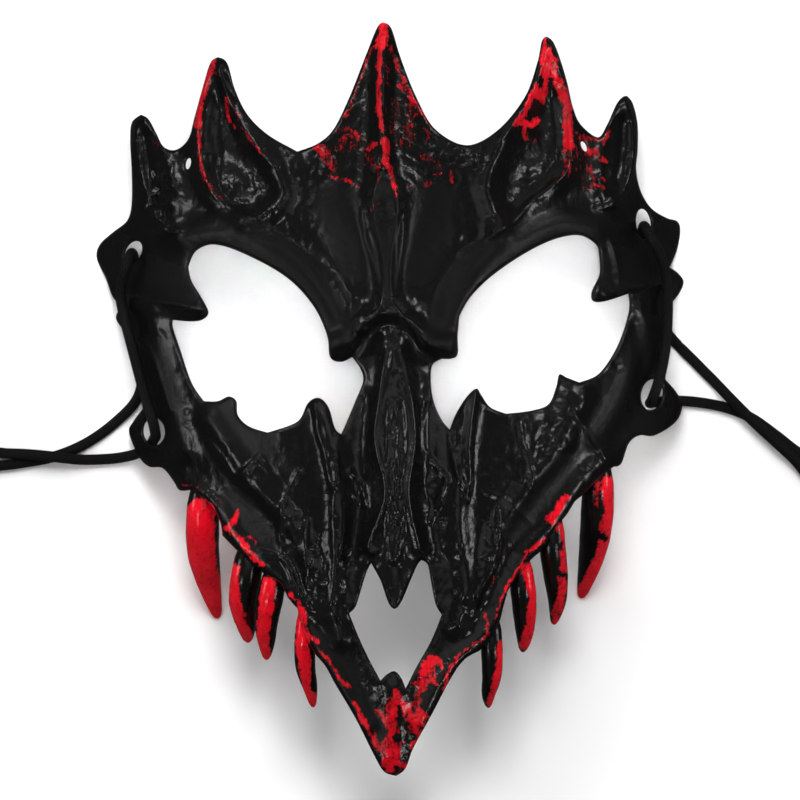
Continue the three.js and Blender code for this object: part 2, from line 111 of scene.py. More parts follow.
# Colours, and how dull and how reflective the plastic is
BLACK = (0.0028, 0.0028, 0.0026, 1)
DARK_RED = (0.42, 0.001, 0.006, 1)
BRIGHT_RED = (0.94, 0.004, 0.02, 1)
CORD_BLACK = (0.002, 0.002, 0.002, 1)
CORD_GREY = (0.006, 0.006, 0.006, 1)
FLOOR_WHITE = (0.94, 0.94, 0.94, 1)
ROUGHNESS = (0.13, 0.26)        # in the dark and in the bright parts of a cloudy noise
SATIN_ROUGHNESS = 0.18          # added where the plastic is satin
SPECULAR_GLOSSY = 0.36
SPECULAR_SATIN = 0.2
CORD_ROUGHNESS = 0.6
CORD_SPECULAR = 0.15
FLOOR_ROUGHNESS = 0.8

# Brightness of the sky by height: straight down 0, at the horizon 0.5, and straight up 1
SKY = [(0.0, 0.1), (0.49, 0.1), (0.52, 0.3), (0.62, 0.26), (0.80, 0.15), (0.92, 0.04), (1.0, 0.015)]
SKY_AT_CHIN = 0.35              # strength towards the chin's side and towards the crown's
SKY_AT_CROWN = 1.0

# Lamps: name, place and size in metres, power in watts, and whether it shows as a highlight. The two over
# the eyes also have the point that they face and the spread of their beam in degrees.
LAMPS = [
    ("fill", (0, 0.6, 1.3), 0.5, 14, False),
    ("eye_left", (-0.042, 0.02, 0.8), 0.08, 0.02, False, (-0.042, 0.02, 0), 8),
    ("eye_right", (0.045, 0.02, 0.8), 0.08, 0.02, False, (0.045, 0.02, 0), 8),
    ("key", (-0.3, 1.05, 1.0), 0.6, 8, False),
    ("crown_left", (-0.5, 0.95, 1.1), 0.16, 0.6, True),
    ("crown_right", (0.6, 0.9, 1.1), 0.16, 0.6, True),
    ("top_left", (-0.6, 0.2, 1.3), 0.12, 0.6, True),
    ("low_left", (-0.8, -0.8, 0.95), 0.2, 1.6, True),
    ("low_right", (0.8, -0.8, 0.95), 0.2, 1.6, True),
    ("high_left", (-1.1, 0.6, 0.4), 0.25, 1.5, True),
    ("high_right", (1.1, 0.6, 0.4), 0.25, 1.5, True),
    ("side_left", (-1.2, -0.1, 0.3), 0.3, 1.2, True),
    ("side_right", (1.2, -0.1, 0.4), 0.3, 1.7, True),
]
FLOOR_HALF = 3                  # half the floor's side in metres

# Cords
CORD_DIAMETER = 3.4
CORD_SIDES = 20
CORD_STEPS = 14                 # steps of the tube from one point of the route to the next
KNOT_CORE = 1.6                 # radius of the straight core of a knot
KNOT_STRAND = 1.25              # radius of the strand wound round it
KNOT_COIL = 2.4                 # radius of the winding, to the middle of the strand
KNOT_TURNS = 3.5
KNOT_STEPS = 90
KNOT_BARE = 0.14                # share of the core that shows at each end
KNOT_TAPER = (-0.05, 0.16)      # shares of the winding between which it widens

# The route of each cord: from its knot behind the temple up through the upper slot, down the front of
# the cheek, through the lower slot, out along the floor, round a loop and back to the knot
CORDS = {
    "left": [
        (-81.2, 36.1, 9), (-81.9, 41.8, 9.2), (-82.4, 45.4, 12.2), (-82.7, 46.8, 16.4),
        (-83.1, 46.9, 20.4), (-83.5, 45.9, 23), (-84.3, 43.6, 24.3), (-85.2, 40.8, 23.2),
        (-86, 37.6, 20.3), (-86.5, 33, 18), (-85, 25.5, 19.3), (-81.7, 12.7, 21.6), (-78.8, 2, 24.6),
        (-77, -4, 26.4), (-75.8, -7.9, 26.7), (-75.2, -11.1, 24.2), (-75.3, -12.1, 19.8),
        (-75.7, -12.4, 14.6), (-77, -14.4, 9.4), (-81, -17.2, 5.2), (-87, -18.7, 2.8), (-94, -19.3, 2.2),
        (-100, -19.3, 3.4), (-105, -18.8, 5.3), (-112, -18, 5.7), (-118.5, -17.5, 4.4), (-125, -17.2, 2.5),
        (-133, -15.5, 1.8), (-142, -9.8, 1.8), (-153, -6.4, 1.8), (-163.5, -10, 1.8), (-168.5, -19.5, 1.8),
        (-164, -29.5, 1.8), (-153, -33, 1.8), (-141.5, -28, 1.8), (-131.5, -22.4, 1.8), (-120, -20.6, 1.8),
        (-108.7, -18.5, 1.8), (-98, -14.1, 1.8), (-88, -6.9, 1.8), (-81.2, 0.8, 2.3), (-79.3, 12, 3.8),
        (-80, 25.9, 6.2),
    ],
    "right": [
        (81.5, 41, 8.6), (80.9, 47.2, 9.8), (80.7, 52.4, 12.8), (81.3, 55.1, 17.2), (81.6, 55.6, 21.6),
        (82.4, 54.4, 24.4), (83.6, 52, 25.7), (85.2, 49.2, 24.6), (86.6, 46.4, 21.6), (87.9, 42.8, 17.6),
        (88.9, 37, 15.2), (89.2, 29, 15.7), (88.5, 17.5, 18.9), (87.3, 10.4, 22.4), (86.3, 6.5, 25.2),
        (85.3, 3.3, 27), (84.4, 0.9, 26.8), (83.8, -0.7, 24.6), (83.5, -1, 21), (83.8, -1.1, 14.6),
        (85.2, -0.9, 9.2), (88.6, -0.5, 4.7), (93, -0.4, 2.2), (99.5, -0.9, 1.8), (108.7, -2.7, 1.8),
        (116.5, -6, 1.8), (124.7, -11.8, 1.8), (131.5, -17, 1.8), (140, -21.2, 1.8), (151.5, -20.5, 1.8),
        (162.5, -23.5, 1.8), (168, -32.5, 1.8), (164.5, -42.5, 1.8), (154, -46, 1.8), (144, -39.5, 1.8),
        (137.2, -29, 2.4), (131.1, -20.3, 4.4), (124.7, -14.2, 5.4), (117, -7.1, 5.8), (110.5, -0.6, 5.2),
        (105, 5.2, 3), (98, 12.3, 1.9), (89.8, 20.8, 2.2), (83.3, 31, 5.5),
    ],
}

# The outer outline clockwise from the centre spike's tip, a row for each feature. Each row is a smooth
# curve that starts where the row before it ends, so the corners are where rows meet.
OUTLINE_START = (-2, 120)
LEFT_EYE_START = (-64.5, 42.5)
RIGHT_EYE_START = (22, 26.5)
MOUTH_START = (-6, -52)
OUTLINE = [
    # centre spike, valley, right middle spike
    [[0.5, 118], [3.5, 108.5], [8.5, 96], [14.5, 86], [24.5, 81], [34.5, 86], [43, 96.5], [47, 107.5],
        [48.5, 114.5], [50, 116]],
    # right middle spike to outer spike
    [[52, 114.5], [54, 110], [56.5, 102], [58.5, 93.5], [61, 88], [66.5, 84], [69.5, 88], [72.5, 94.5],
        [74.5, 97], [76, 97.5]],
    # right outer spike to temple lobe
    [[78, 95], [79.5, 88.5], [79.5, 80], [79, 74], [80.5, 67], [84, 61.5], [89, 58.5], [92.5, 57.5],
        [93.5, 54.5], [92.5, 48.5], [90, 42.5]],
    # right second lobe
    [[92.5, 41], [94.6, 38], [93, 34], [90, 30.5]],
    # right cheekbone
    [[90, 22.5], [89, 14], [88.5, 6.5]],
    # right lower lobe
    [[92, 2.5], [94, -1.5], [92, -7], [85, -11.5], [80, -11.5], [76.5, -14], [74, -20.5], [71.5, -21.5]],
    # right jaw, a row behind each fang
    [[66.5, -25.5], [62, -30], [59, -32.5]],
    [[56.5, -36.5], [54.5, -39], [51, -44], [48, -48.5]],
    [[45, -51], [41, -55.5], [37.5, -61]],
    [[36, -66.5], [35, -70.5], [32.5, -76], [28.5, -80]],
    # right arm to chin
    [[23.5, -83], [19, -89.5], [13.5, -100], [7.5, -111], [5, -117.5], [2, -120]],
    # chin to left arm
    [[-2, -118.5], [-5.5, -112.5], [-11, -101.5], [-17.5, -90.5], [-20.5, -85], [-23.5, -81.5]],
    # left jaw, a row behind each fang
    [[-27, -75.5], [-28.5, -70.5], [-29.5, -66.5]],
    [[-32.5, -63], [-35, -58.5], [-39.5, -56]],
    [[-44, -52.5], [-48.5, -48.5], [-53.5, -43.5]],
    [[-54.5, -38.5], [-58, -33], [-64, -29]],
    # left lower lobe
    [[-67.5, -29], [-69.5, -26], [-73, -22], [-77.5, -21.5], [-81, -18], [-84, -10.5], [-82.5, -7],
        [-79.5, -3]],
    # left cheekbone
    [[-80, 1.5], [-81, 7.5], [-83.5, 16], [-85.5, 22]],
    # left small lobe
    [[-88, 25.5], [-88, 27.5], [-87, 29], [-87.5, 31]],
    # left temple lobe to outer spike
    [[-89.5, 33.5], [-91.5, 39], [-94.5, 45.5], [-93.5, 50], [-89, 54], [-84.5, 57.5], [-83, 63],
        [-83, 73.5], [-83.5, 83], [-83, 89], [-80, 91.5]],
    # left outer spike to middle spike
    [[-77.5, 90], [-75, 85.5], [-72.5, 81], [-68.5, 80], [-64.5, 83.5], [-62.5, 90.5], [-60, 99.5],
        [-57.5, 107.5], [-55, 109.5]],
    # left middle spike to the valley's corner
    [[-52, 107.5], [-49.5, 99], [-45.5, 91], [-39, 84.5], [-29.5, 79]],
    # the valley's corner to the centre spike
    [[-23, 81.5], [-18, 86], [-13, 96], [-7.5, 110], [-4, 118.5], [-2, 120]],
]
LEFT_EYE = [
    # brow
    [[-62, 47.5], [-56, 49.5], [-46.5, 46.5], [-33, 39], [-24.5, 30], [-20, 20.5], [-19, 13.5],
      [-15.5, 12], [-12, 13.5]],
    # side of the nose
    [[-9.5, 10], [-8.5, 6], [-11, -0.5], [-13.5, -6.5], [-15.5, -11]],
    # inner tooth
    [[-17.5, -9], [-19.5, -2.5], [-22.5, 0.5], [-26, -1], [-29.5, -7], [-39, -10.5]],
    # outer tooth
    [[-45, -8.5], [-48.5, -5], [-49, -0.5], [-51.5, 1], [-55, -0.5], [-59.5, -0.5]],
    # cheekbone
    [[-63.5, 5.5], [-67, 15.5], [-69.5, 23], [-69.5, 25.5]],
    # spur
    [[-64, 25], [-60, 25.5], [-58, 28], [-60.5, 33], [-63.5, 38], [-64.5, 42.5]],
]
RIGHT_EYE = [
    # brow
    [[25.5, 32.5], [32, 39], [42, 46], [52, 51], [60.5, 52.5], [66, 49.5], [67, 45.5]],
    # spur
    [[67, 40], [64.5, 34.5], [65, 31.5], [69, 31.5], [76.5, 34]],
    # cheekbone
    [[76.5, 28], [73, 17.5], [67, 8.5], [60.5, 5.5]],
    # outer tooth
    [[56.5, 7], [54, 8], [53, 4], [50.5, -1.5], [45, -3.5], [37, -4.5]],
    # inner tooth
    [[32, -2.5], [29, 1.5], [27.5, 3.5], [24.5, 1], [21, -4.5], [19, -9.5]],
    # side of the nose
    [[16.5, -6.5], [14, -1], [13, 5.5], [13.5, 11], [16.5, 13]],
    # corner under the brow
    [[19.5, 13], [21.5, 14.5], [21.5, 20.5], [22, 26.5]],
]
MOUTH = [
    # left notch
    [[-7.5, -55], [-9.5, -61.5], [-11, -66], [-13, -68]],
    # left arm
    [[-10, -75.5], [-6.5, -83], [-3, -89.5]],
    # horn of the chin
    [[-1, -87.5], [1.5, -86.5], [3.5, -88.5], [5, -92]],
    # right arm
    [[8.5, -85], [13, -77], [16.5, -68.5]],
    # right notch
    [[14.5, -65], [13, -57.5], [12, -52.5], [10, -51]],
    # point of the nose
    [[8.5, -53], [5.5, -60], [3.5, -64.5], [1.5, -66.5], [-0.5, -64.5], [-3, -57.5], [-6, -52]],
]

# Oval slots and pinholes: centre, half width, half height, and turn in degrees
HOLES = [
    ((-82.4, 47.4), (2.5, 3.8), -30),
    ((-75.7, -10.2), (3.5, 4.4), 5),
    ((81.4, 56.4), (2.4, 4.9), 8),
    ((84.0, 1.6), (3.5, 5.0), -12),
    ((-64.5, 75.5), (0.8, 1.8), -12),
    ((62.0, 81.0), (0.8, 1.7), 25),
]

# Raised lines of the carving, as in the solid: height, width, and points. One width from its crest, a ridge
# has fallen to about a third of its height. A negative height is a groove.
RIDGES = [
    # centre spike: keel, body, and the keel's left and right forks
    (4.0, 3.2, [[-2.2, 119], [-2.5, 95], [-3, 76]]),
    (5.0, 9, [[-2, 112], [-2.5, 90], [-1, 66]]),
    (2.6, 3.2, [[-3, 76], [-5.5, 62], [-3, 48], [-2, 33]]),
    (2.6, 3.2, [[-3, 76], [2, 64], [2.5, 54], [0.5, 40], [1.5, 28]]),
    # left middle spike: outer edge, inner edge, hollow, and the lump in it
    (2.6, 3.2, [[-55.5, 107], [-59, 94], [-60, 78], [-56, 64], [-47, 57.5]]),
    (2.6, 3.2, [[-54, 105], [-48, 90], [-40, 78], [-34, 66], [-40, 58], [-47, 57.5]]),
    (-3.8, 7.5, [[-52.5, 92], [-50, 78], [-45, 66]]),
    (2.4, 4, [[-49, 70], [-42, 62]]),
    # right middle spike: inner edge, outer edge and hollow
    (2.6, 3.2, [[50, 113], [46, 98], [39, 88], [34, 78], [31, 66], [36, 54]]),
    (2.6, 3.2, [[51, 112], [56, 94], [58, 78], [53, 68], [44, 61], [33, 54]]),
    (-3.8, 7.5, [[51, 94], [49, 80], [41, 68]]),
    # left outer spike: outer edge, inner edge and the hollow between them
    (2.0, 3.2, [[-80, 90], [-82, 78], [-80, 66], [-74, 54]]),
    (1.6, 3.2, [[-78, 89], [-73, 79], [-69, 66], [-70, 55]]),
    (-1.6, 3.2, [[-78.5, 84], [-77.3, 76], [-74.5, 66], [-72.5, 58]]),
    # right outer spike: outer edge, inner edge and the hollow between them
    (2.0, 3.2, [[76, 95], [78, 84], [77, 72], [73, 63]]),
    (1.6, 3.2, [[74, 94], [70, 84], [68, 72], [70, 63]]),
    (-1.6, 3.2, [[74.5, 88], [74, 82], [72.5, 72]]),
    # brow bands, and the grooves above them
    (2.4, 5.0, [[-66, 52], [-56, 54], [-44, 51], [-29, 42], [-19, 30], [-15, 18]]),
    (2.4, 5.0, [[17.5, 18], [21, 30], [29, 42], [41, 50.5], [54, 56.5], [66, 55]]),
    (-0.9, 3.2, [[-66, 58], [-52, 60.5], [-38, 56], [-24, 46], [-14, 34], [-9, 22]]),
    (-0.9, 3.2, [[12, 24], [16, 36], [24, 48], [36, 57], [50, 64], [64, 62]]),
    # frontal plate, its lower lip, and the hollow under the lip
    (2.6, 8, [[-1, 62], [-0.5, 30]]),
    (4.2, 3.4, [[-19, 17], [-14, 19], [-10, 24], [-2, 28], [4, 26.5], [9, 23], [13, 18.5], [19, 17.5]]),
    (-2.0, 3.2, [[-14, 12], [-9, 17], [-2, 21.5], [4, 20.5], [9, 16.5], [14, 12]]),
    # bridge and plate of the nose, the plate's two rims, and the grooves beside them
    (4.6, 6.5, [[1, 18], [1.5, -10], [1.5, -40], [1.5, -66]]),
    (1.8, 3.0, [[-1, 21], [-4, -12], [-3, -22], [-3, -36], [-6, -47]]),
    (1.8, 3.0, [[3.5, 21], [8, -8], [6, -28], [8, -42], [9.5, -48]]),
    (-1.8, 3.2, [[-8, 0], [-10, -20], [-10, -38], [-12, -50]]),
    (-1.8, 3.2, [[11, -4], [12, -22], [13, -36], [15, -48]]),
    # strands of the left cheek and of the right one, the inner strand first
    (2.6, 3.2, [[-22, -2], [-18, -20], [-16, -40], [-18, -62], [-16, -76]]),
    (2.2, 3.4, [[-58, -6], [-46, -24], [-34, -36], [-26, -52], [-22, -68]]),
    (2.6, 3.2, [[26, 2], [23, -18], [22, -38], [24, -58], [22, -72]]),
    (2.2, 3.4, [[62, 0], [54, -16], [44, -28], [34, -44], [28, -62]]),
    # rims of the jaw, left and right
    (2.0, 3.2, [[-66, -26], [-55, -35], [-48, -46], [-38, -53.5], [-31, -62], [-26, -74], [-18, -86],
        [-8, -104]]),
    (2.0, 3.2, [[70, -18], [60, -28], [52, -40], [42, -51], [35, -64], [29, -76], [18, -87], [10, -103]]),
    # cheekbones, left and right
    (2.6, 4.0, [[-76, 27], [-74, 12], [-70, -2], [-66, -16]]),
    (2.6, 4.0, [[82, 30], [80, 16], [74, 0], [66, -12]]),
    # shelves of the spurs, left and right
    (2.2, 3.2, [[-83, 30], [-72, 31], [-62, 29.5]]),
    (2.2, 3.2, [[86, 36], [76, 37.5], [67, 35.5]]),
    # chin
    (4.0, 8, [[1.5, -92], [1, -114]]),
]

# Fangs, the left ones and then the right ones, from the outermost inwards: largest radius, drop towards the
# floor, and points of the middle line as seen from above
FANGS = [
    (5.4, 34.8, [[-59.5, -27], [-60, -38.5], [-60, -48], [-58.5, -57.5], [-55.5, -70.5]]),
    (4.9, 22, [[-44, -46], [-46, -57], [-47, -64.5], [-46, -72], [-45.5, -77.5]]),
    (4.2, 20, [[-36, -53], [-38, -62.5], [-39.5, -70.5], [-39.5, -77.5], [-39.5, -83]]),
    (3.5, 20, [[-26, -66], [-27, -77], [-27, -85], [-25.5, -92], [-24.5, -98.3]]),
    (5.3, 37.9, [[66.5, -20], [66.5, -32], [66, -41.5], [64.5, -51.5], [61.5, -64]]),
    (4.2, 24, [[51.5, -37], [52, -48], [53, -56.5], [53.5, -64.5], [52.5, -72]]),
    (4.1, 20, [[41, -50], [42.5, -61], [43, -68.5], [43, -75.5], [42.5, -80.5]]),
    (3.5, 20, [[32, -69], [32.5, -80], [32.5, -88], [31.5, -94], [31.5, -98.3]]),
]

# Finer lines of the carving, traced on the photograph in its pixels: height and width in millimetres, and
# points
CREASES = [
    # rims of the valleys beside the centre spike, rolled towards the crown
    (-1.0, 3.2, [(442, 139), (455, 147), (470, 148), (484, 143), (494, 134)]),
    (-1.0, 3.2, [(254, 102), (265, 120), (280, 139), (292, 149), (301, 153)]),
    # groove beside the right side strip
    (-1.9, 3.0, [(637, 326), (641, 352), (645, 384)]),
    # centre spike: the sharp line of its keel
    (1.2, 1.4, [(384, 26), (382, 60), (381, 100), (381, 125), (385, 150), (388, 168)]),
    (0.9, 0.8, [(388, 168), (395, 185), (398, 205), (396, 225), (392, 250), (391, 285), (394, 305),
        (402, 316)]),
    (0.9, 0.8, [(388, 168), (380, 180), (373, 198), (375, 220), (381, 245), (384, 270), (383, 298),
        (376, 312)]),
    (0.7, 0.9, [(362, 212), (366, 240), (374, 265), (380, 290), (381, 305)]),
    (0.7, 0.9, [(404, 215), (403, 240), (399, 270), (396, 295)]),
    # left middle spike
    (0.9, 0.8, [(213, 65), (204, 88), (199, 110), (197, 130), (199, 155), (206, 178), (220, 200),
        (240, 213), (256, 219), (265, 213)]),
    (0.8, 1.1, [(222, 72), (226, 95), (235, 115), (246, 133), (262, 155), (276, 166)]),
    # left outer spike
    (0.9, 0.9, [(134, 122), (137, 145), (142, 172), (147, 192), (157, 215), (166, 231), (178, 231)]),
    # right middle spike
    (0.9, 0.8, [(546, 40), (541, 66), (530, 96), (515, 122), (500, 140)]),
    (1.0, 0.8, [(548, 42), (558, 66), (566, 95), (570, 125), (571, 150), (566, 172), (552, 186), (530, 202),
        (514, 222), (498, 232), (478, 246), (462, 254)]),
    # right outer spike
    (0.9, 0.9, [(626, 98), (632, 120), (634, 150), (630, 175), (622, 196), (608, 206), (596, 208)]),
    # lower lip of the frontal plate
    (0.9, 0.9, [(352, 350), (356, 336), (363, 326), (373, 318), (385, 314), (397, 315), (408, 321),
        (418, 331), (427, 342), (438, 350), (452, 353)]),
    # bridge and plate of the nose
    (1.2, 1.0, [(388, 352), (384, 372), (379, 402), (375, 430), (378, 455), (384, 475), (385, 500),
        (378, 520), (370, 538), (369, 548), (373, 552)]),
    (1.2, 1.0, [(399, 350), (405, 375), (412, 405), (415, 435), (412, 462), (408, 488), (411, 515),
        (416, 535), (419, 548)]),
    (1.0, 0.9, [(396, 400), (395, 440), (394, 480), (396, 520), (395, 560)]),
    (0.9, 0.9, [(390, 400), (389, 430), (388, 470), (389, 515), (391, 560)]),
    (0.9, 0.9, [(401, 400), (403, 440), (401, 480), (402, 510), (399, 555)]),
    # left cheek
    (0.9, 0.8, [(316, 405), (318, 430), (325, 452), (329, 475), (333, 485)]),
    (0.8, 0.9, [(340, 434), (336, 455), (337, 480)]),
    (0.9, 0.8, [(212, 444), (225, 460), (238, 476), (258, 458), (262, 462)]),
    (0.7, 0.9, [(300, 470), (285, 500), (280, 530), (285, 560), (300, 590)]),
    (0.7, 0.9, [(335, 485), (333, 520), (335, 560), (333, 600)]),
    (0.8, 0.9, [(307, 520), (306, 560), (308, 600)]),
    (0.7, 0.9, [(350, 470), (362, 485), (366, 505)]),
    (0.8, 1.0, [(262, 552), (285, 560), (298, 590), (312, 610)]),
    # right cheek
    (0.9, 0.8, [(475, 392), (471, 420), (469, 450), (470, 480), (466, 500)]),
    (0.8, 0.9, [(449, 432), (452, 455), (458, 475), (467, 490)]),
    (0.8, 0.8, [(428, 400), (424, 425), (425, 450), (436, 466), (446, 480), (438, 500), (430, 520)]),
    (0.8, 0.8, [(520, 425), (523, 445), (530, 465), (532, 490)]),
    (0.8, 0.9, [(573, 412), (590, 435), (606, 460)]),
    (0.8, 0.9, [(497, 510), (498, 540), (492, 570), (480, 590), (473, 615)]),
    (0.4, 0.9, [(484, 490), (502, 498), (516, 508), (530, 522)]),
    (0.8, 1.0, [(540, 545), (525, 560), (508, 590), (495, 618), (486, 632)]),
    # the ledges of the spurs
    (1.0, 1.0, [(130, 298), (160, 301), (185, 306), (203, 310)]),
    (0.9, 1.0, [(606, 296), (625, 289), (655, 285), (672, 290)]),
    (0.9, 0.9, [(611, 242), (617, 262), (619, 280)]),
    (0.9, 0.9, [(136, 338), (150, 352), (160, 380), (170, 410)]),
]

# Raised or sunk fields: height, how wide their edge is, and their outline in the photograph's pixels
FIELDS = [
    (1.2, 1.4, [(386, 172), (377, 190), (374, 215), (380, 245), (385, 275), (384, 300), (378, 312),
        (398, 313), (391, 295), (391, 265), (392, 240), (397, 215), (395, 190)]),
]

# Patches of crumpled texture: how strong they are, and the centre, half width and half height in pixels
CRUMPLED = [
    # left outer spike
    (2.2, (160, 194), (14, 38)), (0.4, (143, 135), (8, 10)),
    # left middle spike
    (0.32, (250, 198), (20, 20)), (0.6, (278, 229), (20, 9)), (0.6, (304, 243), (12, 8)),
    # brow
    (0.35, (335, 160), (24, 20)), (0.35, (420, 160), (22, 30)), (0.75, (465, 158), (20, 11)),
    (0.36, (510, 210), (26, 16)), (0.6, (538, 178), (24, 14)), (0.6, (452, 245), (26, 12)),
    (0.55, (420, 298), (12, 22)), (0.5, (360, 305), (10, 20)),
    # right outer spike
    (0.9, (602, 188), (12, 20)), (0.4, (612, 150), (10, 24)),
    # nose
    (0.85, (396, 455), (9, 100)),
    # left cheek
    (0.28, (240, 425), (32, 18)), (0.6, (252, 478), (16, 18)), (0.5, (222, 490), (16, 12)),
    (0.65, (337, 458), (8, 28)), (0.6, (357, 490), (10, 22)), (0.6, (342, 545), (10, 30)),
    (0.85, (318, 568), (13, 40)), (0.55, (366, 410), (7, 14)), (0.45, (290, 520), (20, 40)),
    # right cheek
    (0.7, (550, 440), (22, 26)), (0.65, (456, 452), (9, 28)), (0.6, (432, 495), (12, 26)),
    (0.5, (425, 405), (9, 12)), (0.6, (528, 470), (10, 40)), (0.85, (493, 528), (11, 24)),
    (0.7, (485, 565), (10, 16)), (0.6, (465, 602), (10, 16)), (0.3, (500, 470), (22, 30)),
    # side strips
    (0.4, (180, 400), (10, 40)), (0.4, (615, 380), (20, 30)),
]

# Bands that stay smooth: half width in millimetres, and points in pixels
SMOOTH_BANDS = [
    # brows
    (5.0, [(195, 235), (225, 236), (262, 245), (298, 270), (325, 305), (340, 345)]),
    (5.0, [(442, 345), (445, 310), (462, 280), (495, 255), (535, 235), (580, 222), (605, 235)]),
    # temple lobes
    (7.0, [(110, 250), (130, 270), (180, 290)]),
    (7.0, [(670, 240), (650, 265), (615, 270)]),
    # side strips and the left arm to the chin
    (5.0, [(150, 350), (165, 400), (165, 440)]),
    (5.0, [(650, 330), (640, 370), (650, 420), (620, 430)]),
    (5.0, [(330, 640), (350, 690), (380, 740)]),
    # forehead
    (7.0, [(338, 205), (350, 235), (360, 262)]),
    (4.0, [(388, 188), (386, 225), (387, 262), (388, 288)]),
    (7.0, [(434, 205), (425, 240), (416, 266)]),
    # cheeks
    (5.0, [(218, 408), (240, 430), (264, 446)]),
    (4.5, [(234, 500), (250, 524), (268, 546)]),
    (4.5, [(562, 468), (542, 498), (516, 530)]),
    (4.0, [(624, 382), (607, 418), (592, 444)]),
]

